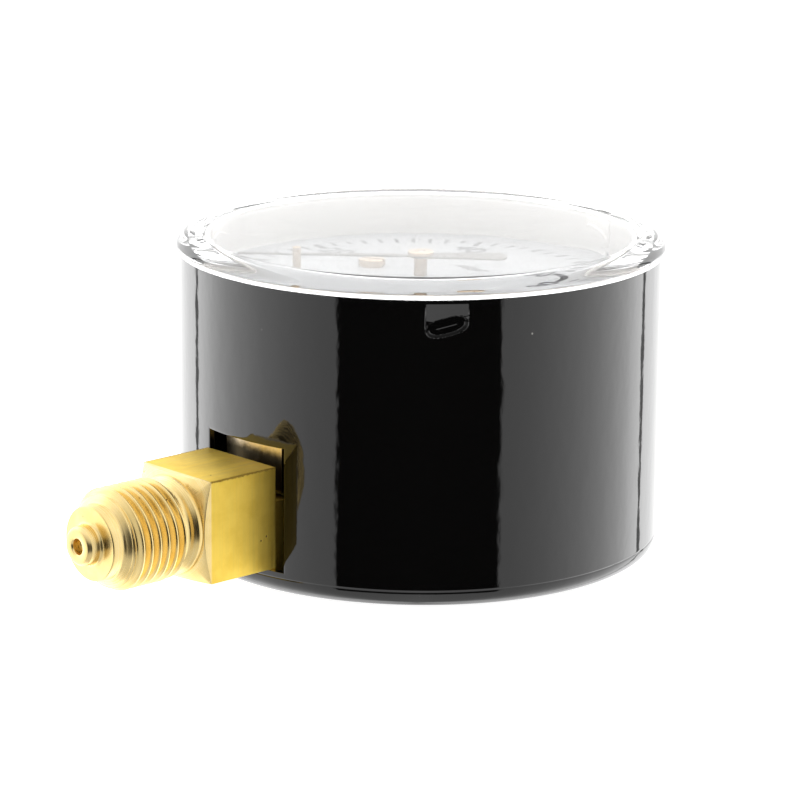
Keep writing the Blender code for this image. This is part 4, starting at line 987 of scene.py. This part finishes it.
# ---------------------------------------------------------------- camera
CAMERA_DISTANCE = 494.4 * MM
CAMERA_ELEVATION = math.radians(14.155)
CAMERA_SIDE = math.radians(46.17)
AIM_Z = 20.0 * MM
YAW, PITCH, ROLL = (math.radians(value) for value in (-0.294, -0.113, 0.572))
FOCAL_LENGTH = 168.6


def turn(first, second, angle):
    """Two perpendicular directions turned in their own plane."""
    c, s = math.cos(angle), math.sin(angle)
    return first * c + second * s, second * c - first * s


def place_camera():
    spin = Matrix.Rotation(CAMERA_SIDE, 3, "Z")
    back = Vector((0, -math.cos(CAMERA_ELEVATION), math.sin(CAMERA_ELEVATION)))
    spot = Vector((0, 0, AIM_Z)) + CAMERA_DISTANCE * back
    ahead = -back
    right = ahead.cross(Vector((0, 0, 1))).normalized()
    up = right.cross(ahead)
    ahead, right = turn(ahead, right, YAW)
    ahead, up = turn(ahead, up, PITCH)
    right, up = turn(right, up, ROLL)
    data = bpy.data.cameras.new("camera")
    data.lens = FOCAL_LENGTH
    data.sensor_width = 36.0
    data.clip_start, data.clip_end = 0.01, 50
    camera = bpy.data.objects.new("camera", data)
    columns = [spin @ right, spin @ up, spin @ -ahead]
    rotation = Matrix([[column[row] for column in columns] for row in range(3)])
    camera.matrix_world = Matrix.Translation(spin @ spot) @ rotation.to_4x4()
    bpy.context.scene.collection.objects.link(camera)
    bpy.context.scene.camera = camera


# ---------------------------------------------------------------- floor and studio light
FLOOR_RADIUS = 6.0
FLOOR_GAP = 0.2 * MM


def place_floor():
    """A pale table, larger than any view of it, a hair below the case."""
    mesh = bmesh.new()
    mesh.faces.new([mesh.verts.new((x, y, -FLOOR_GAP)) for x, y in circle(FLOOR_RADIUS, 96)])
    made, n, shader, place = finish_of("pale_table", Roughness=0.6)
    cloud = n.noise(place, 30, 3.0)
    wire(n, shader, "Base Color", n.mix(cloud, (0.90, 0.90, 0.895), (0.93, 0.93, 0.93)))
    shader.inputs["Emission Color"].default_value = (1, 1, 0.995, 1)
    shader.inputs["Emission Strength"].default_value = 0.9
    floor = make("table", mesh, made)
    floor.visible_glossy = False


# The tent's brightness by the angle away from the camera's side. Its angles are in degrees here.
TENT = (
    (0, 0.9), (40, 0.8), (50, 0.86), (75, 1.26), (93, 1.72),
    (114, 2.43), (128, 2.86), (146, 2.36), (180, 1.3),
)
SLIT_ANGLE = 133.0
SLIT_EDGE = (1.0, 2.2)
SLIT_TOP = (20, 34)
SLIT_DARKNESS = 0.85
GAP_EDGE = (38.2, 40.2)
GAP_BOTTOM = (-27, -23)
GAP_TOP = (8, 30)
GAP_DARKNESS = 0.98
OVERHEAD = (28, 62)
OVERHEAD_LEVEL = 1.25
SHADE_EDGE = (165, 173)
SHADE_BOTTOM = (6, 9)
SHADE_TOP = (19, 22)
SHADE_DARKNESS = 0.36
INSIDE_GAIN = 1.3
BACKDROP_LEVEL = 1.15


def light_studio():
    """A bright tent all round, brighter at both sides, with a dark opening where the camera stands."""
    world = bpy.data.worlds.new("studio")
    bpy.context.scene.world = world
    world.use_nodes = True
    n = Nodes(world.node_tree)
    for node in list(world.node_tree.nodes):
        world.node_tree.nodes.remove(node)
    out = world.node_tree.nodes.new("ShaderNodeOutputWorld")
    direction = world.node_tree.nodes.new("ShaderNodeTexCoord").outputs["Generated"]
    x, y, z = split(n, direction)
    facing = (math.sin(CAMERA_SIDE), -math.cos(CAMERA_SIDE))
    ahead = n.math("ADD", n.math("MULTIPLY", x, facing[0]), n.math("MULTIPLY", y, facing[1]))
    flat = n.math("SQRT", n.math("ADD", n.math("MULTIPLY", x, x), n.math("MULTIPLY", y, y)))
    turned_away = n.math("ARCCOSINE", n.math("DIVIDE", ahead, n.math("MAXIMUM", flat, 0.0001)))
    degrees = n.math("MULTIPLY", turned_away, 180 / math.pi)
    height = n.math("MULTIPLY", n.math("ARCSINE", z), 180 / math.pi)
    ramp = world.node_tree.nodes.new("ShaderNodeFloatCurve")
    curve = ramp.mapping.curves[0]
    top = max(level for _, level in TENT)
    for point, (angle, level) in zip(curve.points, (TENT[0], TENT[-1])):
        point.location = (angle / 180, level / top)
    for angle, level in TENT[1:-1]:
        curve.points.new(angle / 180, level / top)
    ramp.mapping.update()
    n.feed(ramp.inputs["Value"], n.math("DIVIDE", degrees, 180))
    level = n.math("MULTIPLY", ramp.outputs[0], top)
    overhead = n.span(height, *OVERHEAD)
    level = n.math("MULTIPLY", level, n.math("SUBTRACT", 1, overhead))
    level = n.math("ADD", level, n.math("MULTIPLY", overhead, OVERHEAD_LEVEL))
    # a narrow dark slit on each side, up to above the case
    slit = n.span(n.math("ABSOLUTE", n.math("SUBTRACT", degrees, SLIT_ANGLE)), *SLIT_EDGE, 1, 0)
    slit = n.math("MULTIPLY", slit, n.span(height, *SLIT_TOP, 1, 0))
    # the dark opening round the camera
    gap = n.math("MULTIPLY", n.span(height, *GAP_BOTTOM), n.span(height, *GAP_TOP, 1, 0))
    gap = n.math("MULTIPLY", n.span(degrees, *GAP_EDGE, 1, 0), gap)
    gap = n.math("MULTIPLY", gap, GAP_DARKNESS)
    dark = n.math("MAXIMUM", gap, n.math("MULTIPLY", slit, SLIT_DARKNESS))
    # a shaded patch opposite the camera, which the flat lens mirrors
    shade = n.math("MULTIPLY", n.span(degrees, *SHADE_EDGE), n.span(height, *SHADE_BOTTOM))
    shade = n.math("MULTIPLY", shade, n.span(height, *SHADE_TOP, SHADE_DARKNESS, 0))
    level = n.math("MULTIPLY", level, n.math("SUBTRACT", 1, shade))
    # light that comes through the clear window is stronger and has no opening or slits in it
    path = world.node_tree.nodes.new("ShaderNodeLightPath")
    through = n.math("GREATER_THAN", path.outputs["Transmission Depth"], 0.5)
    dark = n.math("MULTIPLY", dark, n.math("SUBTRACT", 1, through))
    level = n.math("MULTIPLY", level, n.math("SUBTRACT", 1, dark))
    level = n.math("MULTIPLY", level, n.math("ADD", 1, n.math("MULTIPLY", through, INSIDE_GAIN)))
    seen = path.outputs["Is Camera Ray"]
    light = n.add("ShaderNodeBackground", Strength=level)
    plain = n.add("ShaderNodeBackground", Strength=BACKDROP_LEVEL)
    for node in (light, plain):
        node.inputs["Color"].default_value = (1, 1, 1, 1)
    mix = world.node_tree.nodes.new("ShaderNodeMixShader")
    n.feed(mix.inputs[0], seen)
    n.tree.links.new(light.outputs[0], mix.inputs[1])
    n.tree.links.new(plain.outputs[0], mix.inputs[2])
    n.tree.links.new(mix.outputs[0], out.inputs["Surface"])
    view = bpy.context.scene.view_settings
    view.view_transform = "Standard"
    view.look = "None"


def allow_long_paths():
    """Light needs many steps to find its way through the thick clear rim."""
    paths = bpy.context.scene.cycles
    paths.max_bounces = 24
    paths.glossy_bounces = 8
    paths.transmission_bounces = 24


place_camera()
place_floor()
light_studio()
allow_long_paths()
